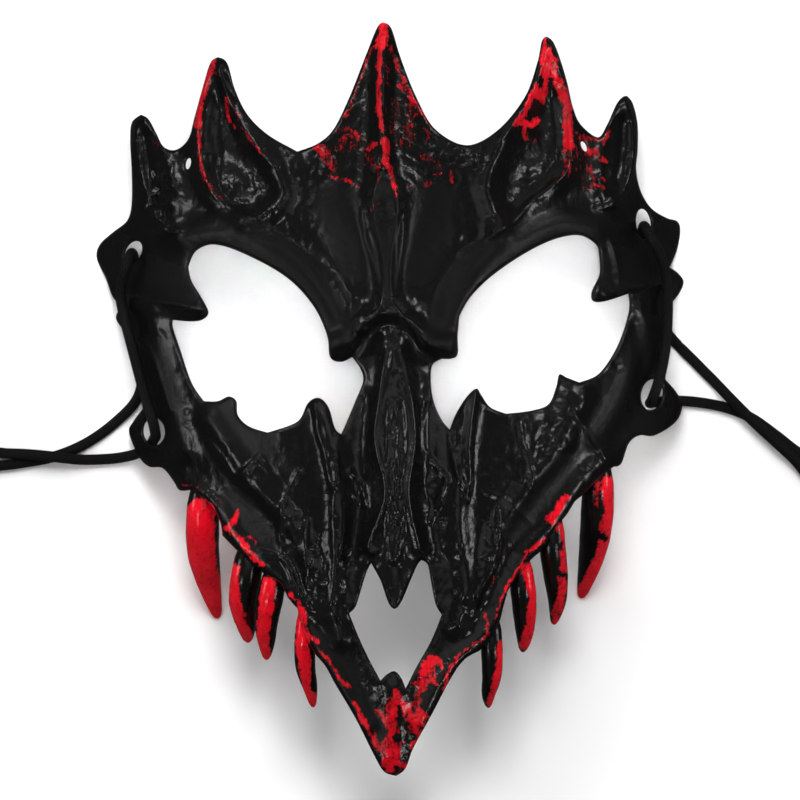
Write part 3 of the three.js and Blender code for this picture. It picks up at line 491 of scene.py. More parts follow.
# Strokes of red paint: how solid they are, half width in millimetres, and points in pixels
PAINT = [
    # centre spike: tip, keel, left edge and right edge
    (1.0, 1.8, [(383, 28), (383, 38), (381, 48)]),
    (1.0, 1.05, [(381, 46), (380, 60), (379, 85), (378.5, 105), (380, 118), (382.5, 132)]),
    (0.85, 0.5, [(373, 48), (366, 66), (358, 88), (346, 118)]),
    (0.5, 1.6, [(391, 50), (394, 62), (400, 64)]), (0.55, 1.1, [(387, 64), (387, 88)]),
    (0.95, 1.2, [(399, 88), (407, 92), (413, 102)]),
    (0.9, 0.7, [(394, 60), (404, 82), (416, 104), (428, 122)]), (0.6, 0.7, [(428, 122), (438, 134)]),
    # centre spike: middle blob and the two forks under it
    (0.95, 1.5, [(384, 143), (387, 150), (385, 163)]), (0.78, 1.4, [(369, 150), (374, 146)]),
    (0.95, 1.2, [(385, 163), (391, 174), (395, 188)]), (0.8, 0.6, [(395, 188), (397, 198)]),
    (0.72, 0.6, [(380, 166), (378, 184)]), (0.6, 0.8, [(364, 165), (366, 166)]),
    (0.6, 0.8, [(374, 204), (373, 212)]), (0.48, 0.7, [(384, 207), (388, 207)]),
    (0.85, 0.6, [(371, 212), (374, 206), (379, 206)]), (0.56, 1.9, [(366, 158), (377, 168)]),
    # centre spike: left patch
    (0.66, 2.4, [(322, 150), (334, 168)]), (0.5, 1.6, [(340, 141), (352, 137), (362, 150)]),
    (0.85, 1.4, [(317, 149), (325, 156)]), (0.72, 1.5, [(328, 155), (336, 164)]),
    (0.66, 1.0, [(337, 133), (348, 129), (358, 138)]), (0.66, 0.7, [(358, 138), (367, 141)]),
    (0.6, 0.6, [(348, 114), (349, 118)]), (0.42, 2.6, [(340, 150), (354, 146)]),
    (0.62, 0.45, [(328, 177), (345, 181)]), (0.8, 0.8, [(346, 181), (352, 184), (358, 189)]),
    # centre spike: right patch
    (0.62, 0.5, [(406, 108), (413, 106), (418, 113), (412, 120), (406, 115)]),
    (0.66, 0.9, [(411, 126), (414, 128)]), (0.7, 1.1, [(424, 131), (429, 134), (427, 143)]),
    (0.62, 1.5, [(424, 186), (430, 184)]), (0.66, 0.5, [(433, 177), (441, 174)]),
    (0.85, 0.7, [(451, 173), (452, 184)]), (0.55, 0.8, [(409, 186), (412, 188)]),
    (0.4, 2.6, [(424, 158), (436, 166)]), (0.4, 5.0, [(398, 112), (404, 140)]),
    # left middle spike: outer edge, inner edge and their thin ends
    (1.0, 1.25, [(213, 62), (208, 78), (203, 95), (199, 112), (197, 126)]),
    (0.8, 1.0, [(198, 126), (199, 140), (200, 155), (202, 168), (206, 180)]),
    (0.66, 0.9, [(206, 180), (213, 192), (224, 202)]), (0.45, 0.9, [(210, 68), (220, 78)]),
    (0.98, 0.75, [(226, 98), (227, 112), (231, 123), (236, 129)]),
    (0.56, 0.5, [(228, 97), (234, 109), (240, 118), (237, 128)]),
    (0.78, 0.5, [(240, 126), (248, 137), (256, 147), (264, 157)]),
    # left outer spike
    (0.32, 2.0, [(145, 132), (158, 145)]),
    # right middle spike: tip, left band, right band and the broken foot of the right one
    (0.95, 0.8, [(544, 39), (543, 52)]), (1.0, 3.1, [(549, 56), (549, 70)]),
    (0.95, 2.4, [(547, 74), (545, 86), (538, 94)]),
    (0.95, 1.2, [(536, 86), (531, 100), (525, 112), (514, 125)]), (0.9, 1.3, [(545, 94), (541, 101)]),
    (0.95, 1.4, [(520, 122), (530, 125), (537, 121)]), (0.85, 1.1, [(523, 124), (525, 138)]),
    (0.7, 0.4, [(534, 138), (534, 143)]),
    (1.0, 1.8, [(553, 74), (559, 84), (565, 98), (567, 112), (568, 130), (569, 146)]),
    (0.56, 2.0, [(566, 154), (569, 166), (565, 174)]),
    # between the right spikes
    (0.62, 1.8, [(576, 131), (584, 146)]), (0.58, 1.5, [(584, 138), (602, 140)]),
    (0.8, 0.8, [(610, 130), (606, 140), (603, 144)]), (0.76, 1.6, [(588, 150), (597, 154)]),
    (0.95, 1.2, [(602, 158), (606, 161)]), (0.85, 0.7, [(587, 166), (589, 169)]),
    (0.72, 0.5, [(594, 168), (598, 171)]), (0.5, 1.4, [(580, 160), (590, 168)]),
    (0.7, 0.4, [(600, 178), (606, 180)]), (0.9, 0.9, [(594, 184), (603, 187)]),
    (0.44, 4.0, [(578, 152), (588, 184)]),
    # left rim above the fangs
    (0.72, 1.0, [(238, 510), (235, 519)]), (0.9, 1.3, [(234, 521), (228, 529)]),
    (0.92, 1.4, [(228, 527), (240, 540), (252, 555), (263, 564)]),
    (0.72, 1.0, [(243, 539), (250, 535), (256, 543)]), (0.8, 0.8, [(219, 499), (221, 506)]),
    (0.5, 0.7, [(180, 485), (198, 487)]), (0.88, 0.9, [(291, 592), (300, 603)]),
    (0.92, 1.1, [(299, 606), (299, 622)]), (0.9, 0.9, [(320, 650), (330, 660), (340, 677), (350, 686)]),
    # right rim above the fangs
    (0.92, 1.8, [(551, 519), (558, 508), (565, 497)]), (0.85, 1.1, [(527, 551), (536, 546), (543, 538)]),
    (0.9, 0.7, [(526, 555), (514, 574), (504, 590), (494, 619)]), (0.62, 0.8, [(494, 577), (486, 592)]),
    (0.85, 0.6, [(486, 612), (486, 634), (470, 646), (456, 656)]),
    (0.9, 1.0, [(458, 657), (449, 670), (444, 688)]),
    # right arm of the chin
    (0.95, 2.0, [(430, 660), (424, 671)]), (0.9, 1.3, [(437, 657), (441, 666)]),
    (0.88, 0.9, [(412, 682), (425, 679), (437, 683)]),
    (0.92, 1.7, [(425, 682), (421, 700), (418, 716), (416, 734)]), (0.8, 0.8, [(431, 703), (434, 702)]),
    (0.72, 1.0, [(425, 712), (429, 718)]),
    # chin: left edge, middle, right edge and tip
    (0.97, 1.0, [(355, 702), (362, 716), (370, 732), (378, 747), (384, 756)]),
    (0.95, 1.6, [(396, 690), (400, 700), (408, 708)]), (0.9, 1.5, [(396, 700), (394, 716), (392, 734)]),
    (0.85, 1.2, [(378, 711), (385, 716), (389, 730)]), (0.85, 1.4, [(407, 706), (413, 722)]),
    (0.9, 1.3, [(416, 732), (411, 750), (404, 765)]), (0.92, 3.2, [(391, 742), (391, 762)]),
    (0.62, 3.4, [(400, 742), (398, 764)]), (0.78, 4.0, [(394, 706), (398, 732)]),
    (0.74, 3.2, [(428, 668), (420, 700), (416, 728)]), (0.6, 2.4, [(372, 728), (384, 752)]),
    # fangs, left and then right
    (1.0, 4.9, [(201, 513), (200, 545), (204, 580), (212, 608), (215, 618)]),
    (1.0, 2.1, [(233, 568), (235, 600), (242, 625), (248, 640)]),
    (1.0, 2.6, [(269, 584), (266, 610), (264, 635), (264, 655)]),
    (1.0, 2.3, [(301, 612), (302, 640), (306, 670), (312, 702)]), (0.9, 1.2, [(308, 634), (318, 640)]),
    (0.98, 2.3, [(608, 482), (608, 515), (605, 545), (595, 572), (583, 596)]),
    (0.8, 1.5, [(597, 484), (598, 504)]), (0.84, 1.9, [(560, 526), (564, 556), (562, 590), (556, 620)]),
    (0.97, 2.0, [(526, 568), (533, 592), (532, 620), (524, 645)]),
    (0.97, 1.3, [(500, 642), (498, 670), (490, 704)]),
]

# Spots in the strokes where the black shows: half width in millimetres, and points in pixels
BARE = [
    # right middle spike
    (0.7, [(541, 80), (540, 86)]), (0.6, [(550, 79), (551, 86)]), (1.3, [(535, 104), (534, 113)]),
    (0.5, [(553, 48), (556, 56)]),
    # chin
    (0.9, [(381, 724), (381, 736)]), (1.0, [(402, 720), (404, 732)]), (0.9, [(397, 737), (412, 736)]),
    (1.4, [(406, 747), (405, 757)]), (0.5, [(396, 766), (398, 768)]),
    (0.4, [(399, 706), (401, 712), (398, 719)]), (1.0, [(431, 686), (433, 696)]),
    (1.0, [(426, 693), (425, 706)]),
    # right fangs
    (1.0, [(595, 534), (606, 538)]), (0.6, [(600, 492), (601, 512)]), (0.9, [(556, 572), (568, 576)]),
    (0.5, [(558, 534), (560, 548)]),
    # left fangs
    (1.2, [(274, 634), (273, 646)]), (1.3, [(316, 656), (315, 688)]),
]

# Strokes of thick paint on the crown: half width in millimetres, and points in pixels
THICK_PAINT = [
    (2.5, [(383, 28), (383, 40)]),
    (3.5, [(545, 42), (549, 56), (549, 72)]),
    (2.0, [(540, 80), (532, 98), (521, 118), (533, 124)]),
]


def mm(values):
    """Millimetres as metres, as an array."""
    return np.asarray(values, float) * MM


def from_picture(points):
    """Pixels of the photograph as millimetres on the mask, seen from straight above."""
    pixels = np.asarray(points, float)
    x0, y0 = PIXEL_AT_ORIGIN
    return np.column_stack([pixels[:, 0] - x0, y0 - pixels[:, 1]]) * PIXEL


def smoothstep(value, start, end):
    """0 at the start, 1 at the end, and smooth between them."""
    t = np.clip((value - start) / (end - start), 0, 1)
    return t * t * (3 - 2 * t)


def spline(points, step):
    """Points about every step along the smooth curve through a row of points, without its last one."""
    points = np.asarray(points, float)
    padded = np.vstack([points[:1], points, points[-1:]])
    found = []
    for p0, p1, p2, p3 in zip(padded, padded[1:], padded[2:], padded[3:]):
        count = max(1, math.ceil(np.linalg.norm(p2 - p1) / step))
        t = (np.arange(count) / count)[:, None]
        start, end = (p2 - p0) / 2, (p3 - p1) / 2
        cube, square = 2 * p1 - 2 * p2 + start + end, 3 * p2 - 3 * p1 - 2 * start - end
        found.append(cube * t**3 + square * t**2 + start * t + p1)
    return np.vstack(found)


def rows_loop(start, rows, step):
    """The closed loop along an outline's rows."""
    found, last = [], start
    for row in rows:
        found.append(spline([last, *row], step))
        last = row[-1]
    return np.vstack(found)


def oval_loop(centre, half, turn, step):
    """The closed loop of an oval that is turned by some degrees."""
    count = math.ceil(2 * math.pi * max(half) / step)
    a = 2 * np.pi * np.arange(count) / count
    t = math.radians(turn)
    x, y = half[0] * np.cos(a), half[1] * np.sin(a)
    return np.column_stack([
        centre[0] + x * math.cos(t) - y * math.sin(t), centre[1] + x * math.sin(t) + y * math.cos(t),
    ])


def outline_loops(step):
    """The outer outline and every opening, each as a closed loop of points."""
    return [
        rows_loop(OUTLINE_START, OUTLINE, step),
        rows_loop(LEFT_EYE_START, LEFT_EYE, step),
        rows_loop(RIGHT_EYE_START, RIGHT_EYE, step),
        rows_loop(MOUTH_START, MOUTH, step),
        *(oval_loop(*hole, step) for hole in HOLES),
    ]


def half_width(x, y):
    """The half width of the face at height y, which is where its surface would reach the floor."""
    left, right = (
        jaw + (temple - jaw) * smoothstep(y, start, end)
        for jaw, temple, start, end in (LEFT_HALF, RIGHT_HALF)
    )
    return np.where(x < 0, left, right)


def face_height(x, y):
    """Height of the plain curved face, without carving."""
    crest = CREST_HEIGHT - np.where(y > 0, CROWN_FALL, CHIN_FALL) * (y / (MASK_HEIGHT / 2)) ** 2
    return crest - SIDE_FALL * (np.abs(x) / half_width(x, y)) ** SIDE_POWER


def line_distance(x, y, line, reach):
    """How far each point is from a line of straight steps. Points further than reach only get reach.

    A reach without decimals rounds the distances down, so a ridge of such a width falls in fine steps.
    """
    found = np.full(len(x), reach)
    low, high = line.min(0) - reach, line.max(0) + reach
    near = np.flatnonzero((x > low[0]) & (x < high[0]) & (y > low[1]) & (y < high[1]))
    if not len(near):
        return found
    px, py = x[near], y[near]
    best = np.full(len(near), reach**2)
    for (x0, y0), (x1, y1) in zip(line, line[1:]):
        dx, dy = x1 - x0, y1 - y0
        t = np.clip(((px - x0) * dx + (py - y0) * dy) / max(dx * dx + dy * dy, 1e-12), 0, 1)
        best = np.minimum(best, (px - x0 - t * dx) ** 2 + (py - y0 - t * dy) ** 2)
    found[near] = np.sqrt(best)
    return found


def inside(x, y, loop):
    """True for each point that is inside a closed loop."""
    found = np.zeros(len(x), bool)
    for (x0, y0), (x1, y1) in zip(loop, np.roll(loop, -1, axis=0)):
        if y0 == y1:
            continue
        between = (y0 > y) != (y1 > y)
        found ^= between & (x < (x1 - x0) * (y - y0) / (y1 - y0) + x0)
    return found


def noise(x, y, size, seed):
    """Smooth noise from about -1 to 1 whose lumps are about size across. In its calls below, the last two
    numbers are that size in millimetres and the seed."""
    u, v = x / size, y / size
    i, j = np.floor(u).astype(np.int64), np.floor(v).astype(np.int64)
    fu, fv = u - i, v - j

    def pull(di, dj):
        bits = ((i + di) * 73856093 ^ (j + dj) * 19349663 ^ seed * 83492791) & 0x7FFFFFFF
        bits = (bits ^ (bits >> 13)) * 1274126177 & 0x7FFFFFFF
        angle = (bits ^ (bits >> 16)) % 4096 * (2 * np.pi / 4096)
        return np.cos(angle) * (fu - di) + np.sin(angle) * (fv - dj)

    su, sv = (f**3 * (f * (6 * f - 15) + 10) for f in (fu, fv))
    low = pull(0, 0) * (1 - su) + pull(1, 0) * su
    high = pull(0, 1) * (1 - su) + pull(1, 1) * su
    return 1.6 * (low * (1 - sv) + high * sv)


def pushed(x, y, push, size, seed):
    """Points pushed about by noise, so that what is drawn there turns wavy."""
    return x + push * noise(x, y, size, seed), y + push * noise(x, y, size, seed + 1)


def crumple(x, y):
    """The folds of the carving's skin, about 1 deep."""
    u, v = pushed(x, y, 1.8, 6.0, 11)
    broad = 1 - 2 * np.abs(noise(u, v * 0.7, 6.5, 13))
    folds = 1 - 2 * np.abs(noise(u, v * 0.7, 3.2, 16))
    fine = noise(u, v * 0.8, 1.5, 14)
    return 0.7 * broad + 0.4 * folds + 0.3 * fine + 0.5 * noise(x, y, 8.0, 15)


def lumps(x, y):
    """Rounded lumps, about 1 high."""
    u, v = pushed(x, y, 0.8, 3.0, 31)
    return 0.7 * noise(u, v, 3.4, 33) + 0.4 * noise(u, v, 1.8, 34)


def smooth_share(x, y):
    """1 in the middle of the smooth bands and 0 away from them."""
    share = np.zeros(len(x))
    for width, points in SMOOTH_BANDS:
        away = line_distance(x, y, spline(from_picture(points), 2.0), BAND_REACH * width)
        share = np.maximum(share, 1 - smoothstep(away, *(edge * width for edge in BAND_EDGE)))
    return share


def skin(x, y):
    """What the crumpled skin adds to the height: folds everywhere, with lumps in the patches."""
    patch = np.zeros(len(x))
    for strength, centre, half in CRUMPLED:
        (cx, cy), = from_picture([centre])
        away = np.hypot((x - cx) / (half[0] * PIXEL), (y - cy) / (half[1] * PIXEL))
        patch = np.maximum(patch, strength * (1 - smoothstep(away, *PATCH_EDGE)))
    depth = np.maximum(SKIN_DEPTH, PATCH_FOLDS * patch)
    height = depth * crumple(x, y) + PATCH_LUMPS * patch * lumps(x, y)
    return height * (1 - SMOOTHED * smooth_share(x, y))


def curve_distance(x, y, points, step, reach):
    """How far each point is from the smooth curve through a row of points, but reach at most."""
    points = np.asarray(points, float)
    return line_distance(x, y, np.vstack([spline(points, step), points[-1:]]), reach)


def raised(x, y, rows, step):
    """How much the ridges or grooves of some rows add to the height."""
    z = np.zeros(len(x))
    for height, width, points in rows:
        away = curve_distance(x, y, points, step, RIDGE_REACH * width)
        z += height * (np.exp(-((away / width) ** 2)) - math.exp(-(RIDGE_REACH**2)))
    return z


def carved_height(x, y):
    """Height of the front with all its carving."""
    traced = [(height, width, from_picture(points)) for height, width, points in CREASES]
    z = face_height(x, y) + raised(x, y, RIDGES, 2.0) + raised(x, y, traced, 0.5)
    for height, edge, points in FIELDS:
        first, *others = from_picture(points)
        loop = rows_loop(first, [[*others, first]], 1.5)
        away = line_distance(x, y, np.vstack([loop, loop[:1]]), edge)
        signed = np.where(inside(x, y, loop), away, -away)
        z += height * smoothstep(signed, -edge, edge)
    z += skin(x, y)
    over = z - SOFT_TOP
    return np.where(over > 0, SOFT_TOP + SOFT_RANGE * (1 - np.exp(-over / SOFT_RANGE)), z)


def paint_amount(x, y, missed=PAINT_MISSED):
    """The share of red paint round each point, less what hollows in the skin miss: over 0 it shows."""
    bent_x = x + 0.5 * noise(x, y, 2.8, 21) + 0.3 * noise(x, y, 1.1, 22)
    bent_y = y + 0.5 * noise(x, y, 2.8, 23) + 0.3 * noise(x, y, 1.1, 24)
    cover = np.zeros(len(x))
    for share, width, points in PAINT:
        away = curve_distance(bent_x, bent_y, from_picture(points), 1.0, width + STROKE_REACH)
        soft = 0.6 + 2.0 * (1 - share)
        cover = np.maximum(cover, share * (1 - smoothstep(away, max(width - soft, 0), width + 0.4)))
    for width, points in BARE:
        away = line_distance(bent_x, bent_y, from_picture(points), width + STROKE_REACH)
        cover *= smoothstep(away, 0.5 * width, width + 0.5)
    blots = 0.16 * noise(x, y, 3.2, 25) + 0.14 * noise(x, y, 1.4, 26)
    return cover * (1 + blots) - PAINT_LOST - missed * np.clip(0.5 - 0.6 * crumple(x, y), 0, 1)


def paint_thinness(x, y):
    """How thin the paint is, from 0 to 1: thin on the crown and somewhat thin on the chin."""
    thinness = smoothstep(y, *CROWN_THINS) + CHIN_THINNESS * smoothstep(y, *CHIN_THINS)
    for half, points in THICK_PAINT:
        away = line_distance(x, y, from_picture(points), 2 * half)
        thinness *= smoothstep(away, half, 2 * half)
    return thinness


def new_mesh(name, vertices, faces):
    """A smooth-shaded mesh object at the origin, its vertices in metres."""
    mesh = bpy.data.meshes.new(name)
    mesh.from_pydata(np.asarray(vertices, float).tolist(), [], [list(map(int, f)) for f in faces])
    mesh.update()
    mesh.polygons.foreach_set("use_smooth", [True] * len(mesh.polygons))
    piece = bpy.data.objects.new(name, mesh)
    bpy.context.scene.collection.objects.link(piece)
    return piece


def put_attribute(piece, name, values):
    """A number for each vertex, which the materials read."""
    attribute = piece.data.attributes.new(name, "FLOAT", "POINT")
    attribute.data.foreach_set("value", np.asarray(values, np.float32))


def rim_distance(x, y, loops):
    """How far each point is from the nearest outline."""
    spots = np.vstack([np.vstack([loop, (loop + np.roll(loop, -1, axis=0)) / 2]) for loop in loops])
    tree = KDTree(len(spots))
    for i, (sx, sy) in enumerate(spots):
        tree.insert((sx, sy, 0), i)
    tree.balance()
    return np.array([tree.find((px, py, 0))[2] for px, py in zip(x, y)])


def sheet_mesh(loops, step, rows):
    """A flat triangulation of all that is inside the first loop and outside the others. The loops' own
    points come first, then rows of points beside them, then a grid."""
    edge_points = np.vstack(loops)
    edges, first = [], 0
    for loop in loops:
        count = len(loop)
        edges += [(first + i, first + (i + 1) % count) for i in range(count)]
        first += count
    extra = []
    for loop in loops:
        along = np.roll(loop, -1, axis=0) - np.roll(loop, 1, axis=0)
        across = np.column_stack([-along[:, 1], along[:, 0]])
        across /= np.linalg.norm(across, axis=1)[:, None]
        for side in (1, -1):
            extra += [np.column_stack([loop + side * across * row, np.full(len(loop), row)]) for row in rows]
    low, high = edge_points.min(0), edge_points.max(0)
    grid_x, grid_y = np.meshgrid(
        np.arange(low[0], high[0], step), np.arange(low[1], high[1], step * math.sqrt(3) / 2),
    )
    grid_x[1::2] += step / 2
    grid_gap = (max(rows) if rows else 0) + GRID_GAP * step
    grid = np.column_stack([grid_x.ravel(), grid_y.ravel(), np.full(grid_x.size, grid_gap)])
    candidates = np.vstack([*extra, grid])
    within = inside(candidates[:, 0], candidates[:, 1], loops[0])
    for loop in loops[1:]:
        within &= ~inside(candidates[:, 0], candidates[:, 1], loop)
    candidates = candidates[within]
    gap = rim_distance(candidates[:, 0], candidates[:, 1], loops)
    candidates = candidates[gap > LEAST_GAP * candidates[:, 2]]
    points = np.vstack([edge_points, candidates[:, :2]])
    found = delaunay_2d_cdt([Vector(p) for p in points], edges, [], 1, 1e-6)
    points = np.array([tuple(p) for p in found[0]])
    faces = np.array([f for f in found[2] if len(f) == 3])
    middle = points[faces].mean(1)
    kept = np.ones(len(faces), bool)
    for loop in loops[1:]:
        kept &= ~inside(middle[:, 0], middle[:, 1], loop)
    return points, faces[kept]


def shell():
    """The front with its carving and rounded edges, the rim, and the plain back."""
    loops = outline_loops(RIM_STEP)
    points, faces = sheet_mesh(loops, GRID_STEP, RIM_ROWS)
    x, y = points.T
    gap = np.clip(rim_distance(x, y, loops), 0, RIM_RADIUS)
    drop = RIM_RADIUS - np.sqrt(RIM_RADIUS**2 - (RIM_RADIUS - gap) ** 2)
    back_points, back_faces = sheet_mesh(loops, BACK_STEP, ())
    bx, by = back_points.T
    half = 0.5                  # the back's steepness is measured over a millimetre
    slope = np.hypot(
        face_height(bx + half, by) - face_height(bx - half, by),
        face_height(bx, by + half) - face_height(bx, by - half),
    )
    grooves = [row for row in RIDGES if row[0] < 0]
    back = np.maximum(face_height(bx, by) + raised(bx, by, grooves, 2.0) - WALL * np.hypot(1, slope), 0)
    front = np.maximum(carved_height(x, y) - drop, LEAST_WALL)
    rim = sum(len(loop) for loop in loops)
    front[:rim] = np.maximum(front[:rim], back[:rim] + LEAST_WALL)
    vertices = np.vstack([
        np.column_stack([x, y, front]),
        np.column_stack([bx, by, back]),
        np.column_stack([bx[:rim], by[:rim], back[:rim]]),
    ])
    wall, first = [], 0
    lower = len(points) + len(back_points)
    for loop in loops:
        count = len(loop)
        for i in range(count):
            this, following = first + i, first + (i + 1) % count
            wall.append((this, following, lower + following, lower + this))
        first += count
    piece = new_mesh("mask", vertices * MM, [*faces, *(back_faces[:, ::-1] + len(points)), *wall])
    x, y = vertices[:, 0], vertices[:, 1]
    paint = paint_amount(x, y)
    paint[len(points):] = 0
    put_attribute(piece, "paint", paint)
    put_attribute(piece, "satin", smooth_share(x, y))
    put_attribute(piece, "thin", paint_thinness(x, y))
    return piece


def lengths(line):
    """How far along a line each of its points is."""
    return np.concatenate([[0], np.cumsum(np.linalg.norm(np.diff(line, axis=0), axis=1))])


def tube(name, line, radii, sides):
    """A tube along a line of points, with flat ends. Its UV map goes once round it, and along it at the
    same scale."""
    tangents = np.gradient(line, axis=0)
    tangents /= np.linalg.norm(tangents, axis=1)[:, None]
    across = np.cross(tangents[0], (0.0, 0.0, 1.0))
    if np.linalg.norm(across) < 0.1:
        across = np.cross(tangents[0], (1.0, 0.0, 0.0))
    turn = 2 * np.pi * np.arange(sides) / sides
    rings = []
    for point, radius, tangent in zip(line, radii, tangents):
        across = across - tangent * (across @ tangent)
        across /= np.linalg.norm(across)
        up = np.cross(tangent, across)
        rings.append(point + radius * (np.cos(turn)[:, None] * across + np.sin(turn)[:, None] * up))
    faces = [
        (i * sides + j, i * sides + (j + 1) % sides, (i + 1) * sides + (j + 1) % sides, (i + 1) * sides + j)
        for i in range(len(line) - 1)
        for j in range(sides)
    ]
    last = (len(line) - 1) * sides
    piece = new_mesh(name, np.vstack(rings), [*faces, range(sides)[::-1], range(last, last + sides)])
    along = lengths(line)
    along /= 2 * np.pi * max(radii)
    uv = piece.data.uv_layers.new(name="round_and_along")
    places = np.zeros((len(piece.data.loops), 2))
    for i, (near, far) in enumerate(zip(along, along[1:])):
        for j in range(sides):
            corner = 4 * (i * sides + j)
            left, right = j / sides, (j + 1) / sides
            places[corner:corner + 4] = [(left, near), (right, near), (right, far), (left, far)]
    uv.data.foreach_set("uv", places.ravel())
    return piece


def blend(t, start, end, first, last):
    """The point at t on a straight line that is at first when t is start and at last when t is end."""
    return (end - t) / (end - start) * first + (t - start) / (end - start) * last


def centripetal(points, steps):
    """Points along the centripetal Catmull-Rom curve through 3-D points, the curve of the CAD tube."""
    points = np.asarray(points, float)
    padded = np.vstack([2 * points[0] - points[1], points, 2 * points[-1] - points[-2]])
    found = []
    for p0, p1, p2, p3 in zip(padded, padded[1:], padded[2:], padded[3:]):
        t1 = np.linalg.norm(p1 - p0) ** 0.5
        t2 = t1 + np.linalg.norm(p2 - p1) ** 0.5
        t3 = t2 + np.linalg.norm(p3 - p2) ** 0.5
        t = (t1 + (t2 - t1) * np.arange(steps) / steps)[:, None]
        middle = blend(t, t1, t2, p1, p2)
        before = blend(t, 0, t2, blend(t, 0, t1, p0, p1), middle)
        after = blend(t, t1, t3, middle, blend(t, t2, t3, p2, p3))
        found.append(blend(t, t1, t2, before, after))
    return np.vstack([*found, points[-1:]])


def fang(number, radius, fall, points):
    """A tapered tube along the fang's centre line, from under the shell's rim to its tip."""
    plan = np.asarray(points, float)
    root = face_height(plan[:1, 0], plan[:1, 1])[0] - WALL - (1 - FANG_BURIED) * radius
    share = np.arange(len(plan)) / (len(plan) - 1)
    line = centripetal(np.column_stack([plan, root - fall * share**FANG_BEND]), FANG_STEPS)
    along = lengths(line)
    along /= along[-1]
    width, place = np.array(FANG_PROFILE).T
    radii = radius * np.interp(along, place, width)
    piece = tube(f"fang_{number}", line * MM, radii * MM, FANG_SIDES)
    where = np.array([v.co for v in piece.data.vertices]) / MM
    where[:, 2] = np.maximum(where[:, 2], 0)
    piece.data.vertices.foreach_set("co", (where * MM).ravel())
    put_attribute(piece, "paint", paint_amount(where[:, 0], where[:, 1], missed=0))
    return piece


def node_tree(name):
    """A new material, with its nodes and its shader."""
    material = bpy.data.materials.new(name)
    material.use_nodes = True
    tree = material.node_tree
    return material, tree, tree.nodes["Principled BSDF"]


def feed(tree, socket, value):
    """Gives an input its value, or links it to another node's output."""
    if isinstance(value, bpy.types.NodeSocket):
        tree.links.new(value, socket)
    else:
        socket.default_value = value


def add(tree, kind, **values):
    """A new node. Names with a capital letter are its inputs, with _ for a space. Others are settings."""
    node = tree.nodes.new(kind)
    for name, value in values.items():
        if name[0].isupper():
            feed(tree, node.inputs[name.replace("_", " ")], value)
        else:
            setattr(node, name, value)
    return node


def calculate(tree, operation, *values):
    """The output of a math node."""
    node = add(tree, "ShaderNodeMath", operation=operation)
    for socket, value in zip(node.inputs, values):
        feed(tree, socket, value)
    return node.outputs[0]


def remap(tree, value, low, high, start=0.0, end=1.0, form="LINEAR"):
    """The output of a node that turns start to end into low to high."""
    ends = {"From_Min": start, "From_Max": end, "To_Min": low, "To_Max": high}
    return add(tree, "ShaderNodeMapRange", interpolation_type=form, Value=value, **ends).outputs["Result"]


def cloud(tree, place, **values):
    """The output of a noise node."""
    return add(tree, "ShaderNodeTexNoise", Vector=place, **values).outputs["Fac"]


def mixed(tree, share, first, second):
    """The output of a node that mixes two colours."""
    return add(tree, "ShaderNodeMix", data_type="RGBA", Factor=share, A=first, B=second).outputs["Result"]


def finish_shader(tree, shader, colour, roughness, specular, bumps, **size):
    """Sets what the shader of the mask and the cords has. The bumps' size is a strength and a distance."""
    normal = add(tree, "ShaderNodeBump", Height=bumps, **size).outputs["Normal"]
    inputs = {"Base Color": colour, "Roughness": roughness, "Specular IOR Level": specular, "Normal": normal}
    for name, value in inputs.items():
        feed(tree, shader.inputs[name], value)


def plastic_material():
    """Glossy black plastic with red paint where the paint number says."""
    material, tree, shader = node_tree("black_plastic_red_paint")
    place = add(tree, "ShaderNodeTexCoord").outputs["Object"]
    paint, thin, satin = (
        add(tree, "ShaderNodeAttribute", attribute_name=name).outputs["Fac"]
        for name in ("paint", "thin", "satin")
    )

    # the paint, broken up by specks and by streaks along the mask
    specks = cloud(tree, place, Scale=1000.0, Detail=4.0, Roughness=0.65)
    along = add(tree, "ShaderNodeMapping", Vector=place, Scale=(1, 0.2, 1)).outputs["Vector"]
    streaks = cloud(tree, along, Scale=900.0, Detail=3.0, Roughness=0.6)
    broken = remap(tree, calculate(tree, "ADD", specks, streaks), 0.0, 0.6, start=0.78, end=1.22)
    shown = calculate(tree, "SUBTRACT", paint, broken)
    red = remap(tree, shown, 0.0, 1.0, start=-0.08, end=0.6, form="SMOOTHSTEP")
    cover = calculate(tree, "MULTIPLY", red, remap(tree, thin, 1.0, THIN_COVER))

    cloudy = cloud(tree, place, Scale=180.0, Detail=4.0)
    colour = mixed(tree, cover, BLACK, mixed(tree, cloudy, DARK_RED, BRIGHT_RED))
    roughness = calculate(tree, "MULTIPLY_ADD", satin, SATIN_ROUGHNESS, remap(tree, cloudy, *ROUGHNESS))
    specular = remap(tree, satin, SPECULAR_GLOSSY, SPECULAR_SATIN)
    grain = cloud(tree, place, Scale=450.0, Detail=3.0, Roughness=0.5)
    finish_shader(tree, shader, colour, roughness, specular, grain, Strength=0.3, Distance=0.0005)
    return material


def elastic_material():
    """Black braided cover: two sets of strands that cross."""
    material, tree, shader = node_tree("black_elastic_braid")
    place = add(tree, "ShaderNodeUVMap", uv_map="round_and_along").outputs["UV"]
    strands = []
    for turn in (45, -45):
        slant = add(tree, "ShaderNodeMapping", Vector=place, Rotation=(0, 0, math.radians(turn)))
        wave = add(tree, "ShaderNodeTexWave", Vector=slant.outputs["Vector"], Scale=5.4, Distortion=0.3)
        strands.append(wave.outputs["Fac"])
    braid = calculate(tree, "MAXIMUM", *strands)
    colour = mixed(tree, braid, CORD_BLACK, CORD_GREY)
    finish_shader(tree, shader, colour, CORD_ROUGHNESS, CORD_SPECULAR, braid, Strength=0.8, Distance=0.0004)
    return material


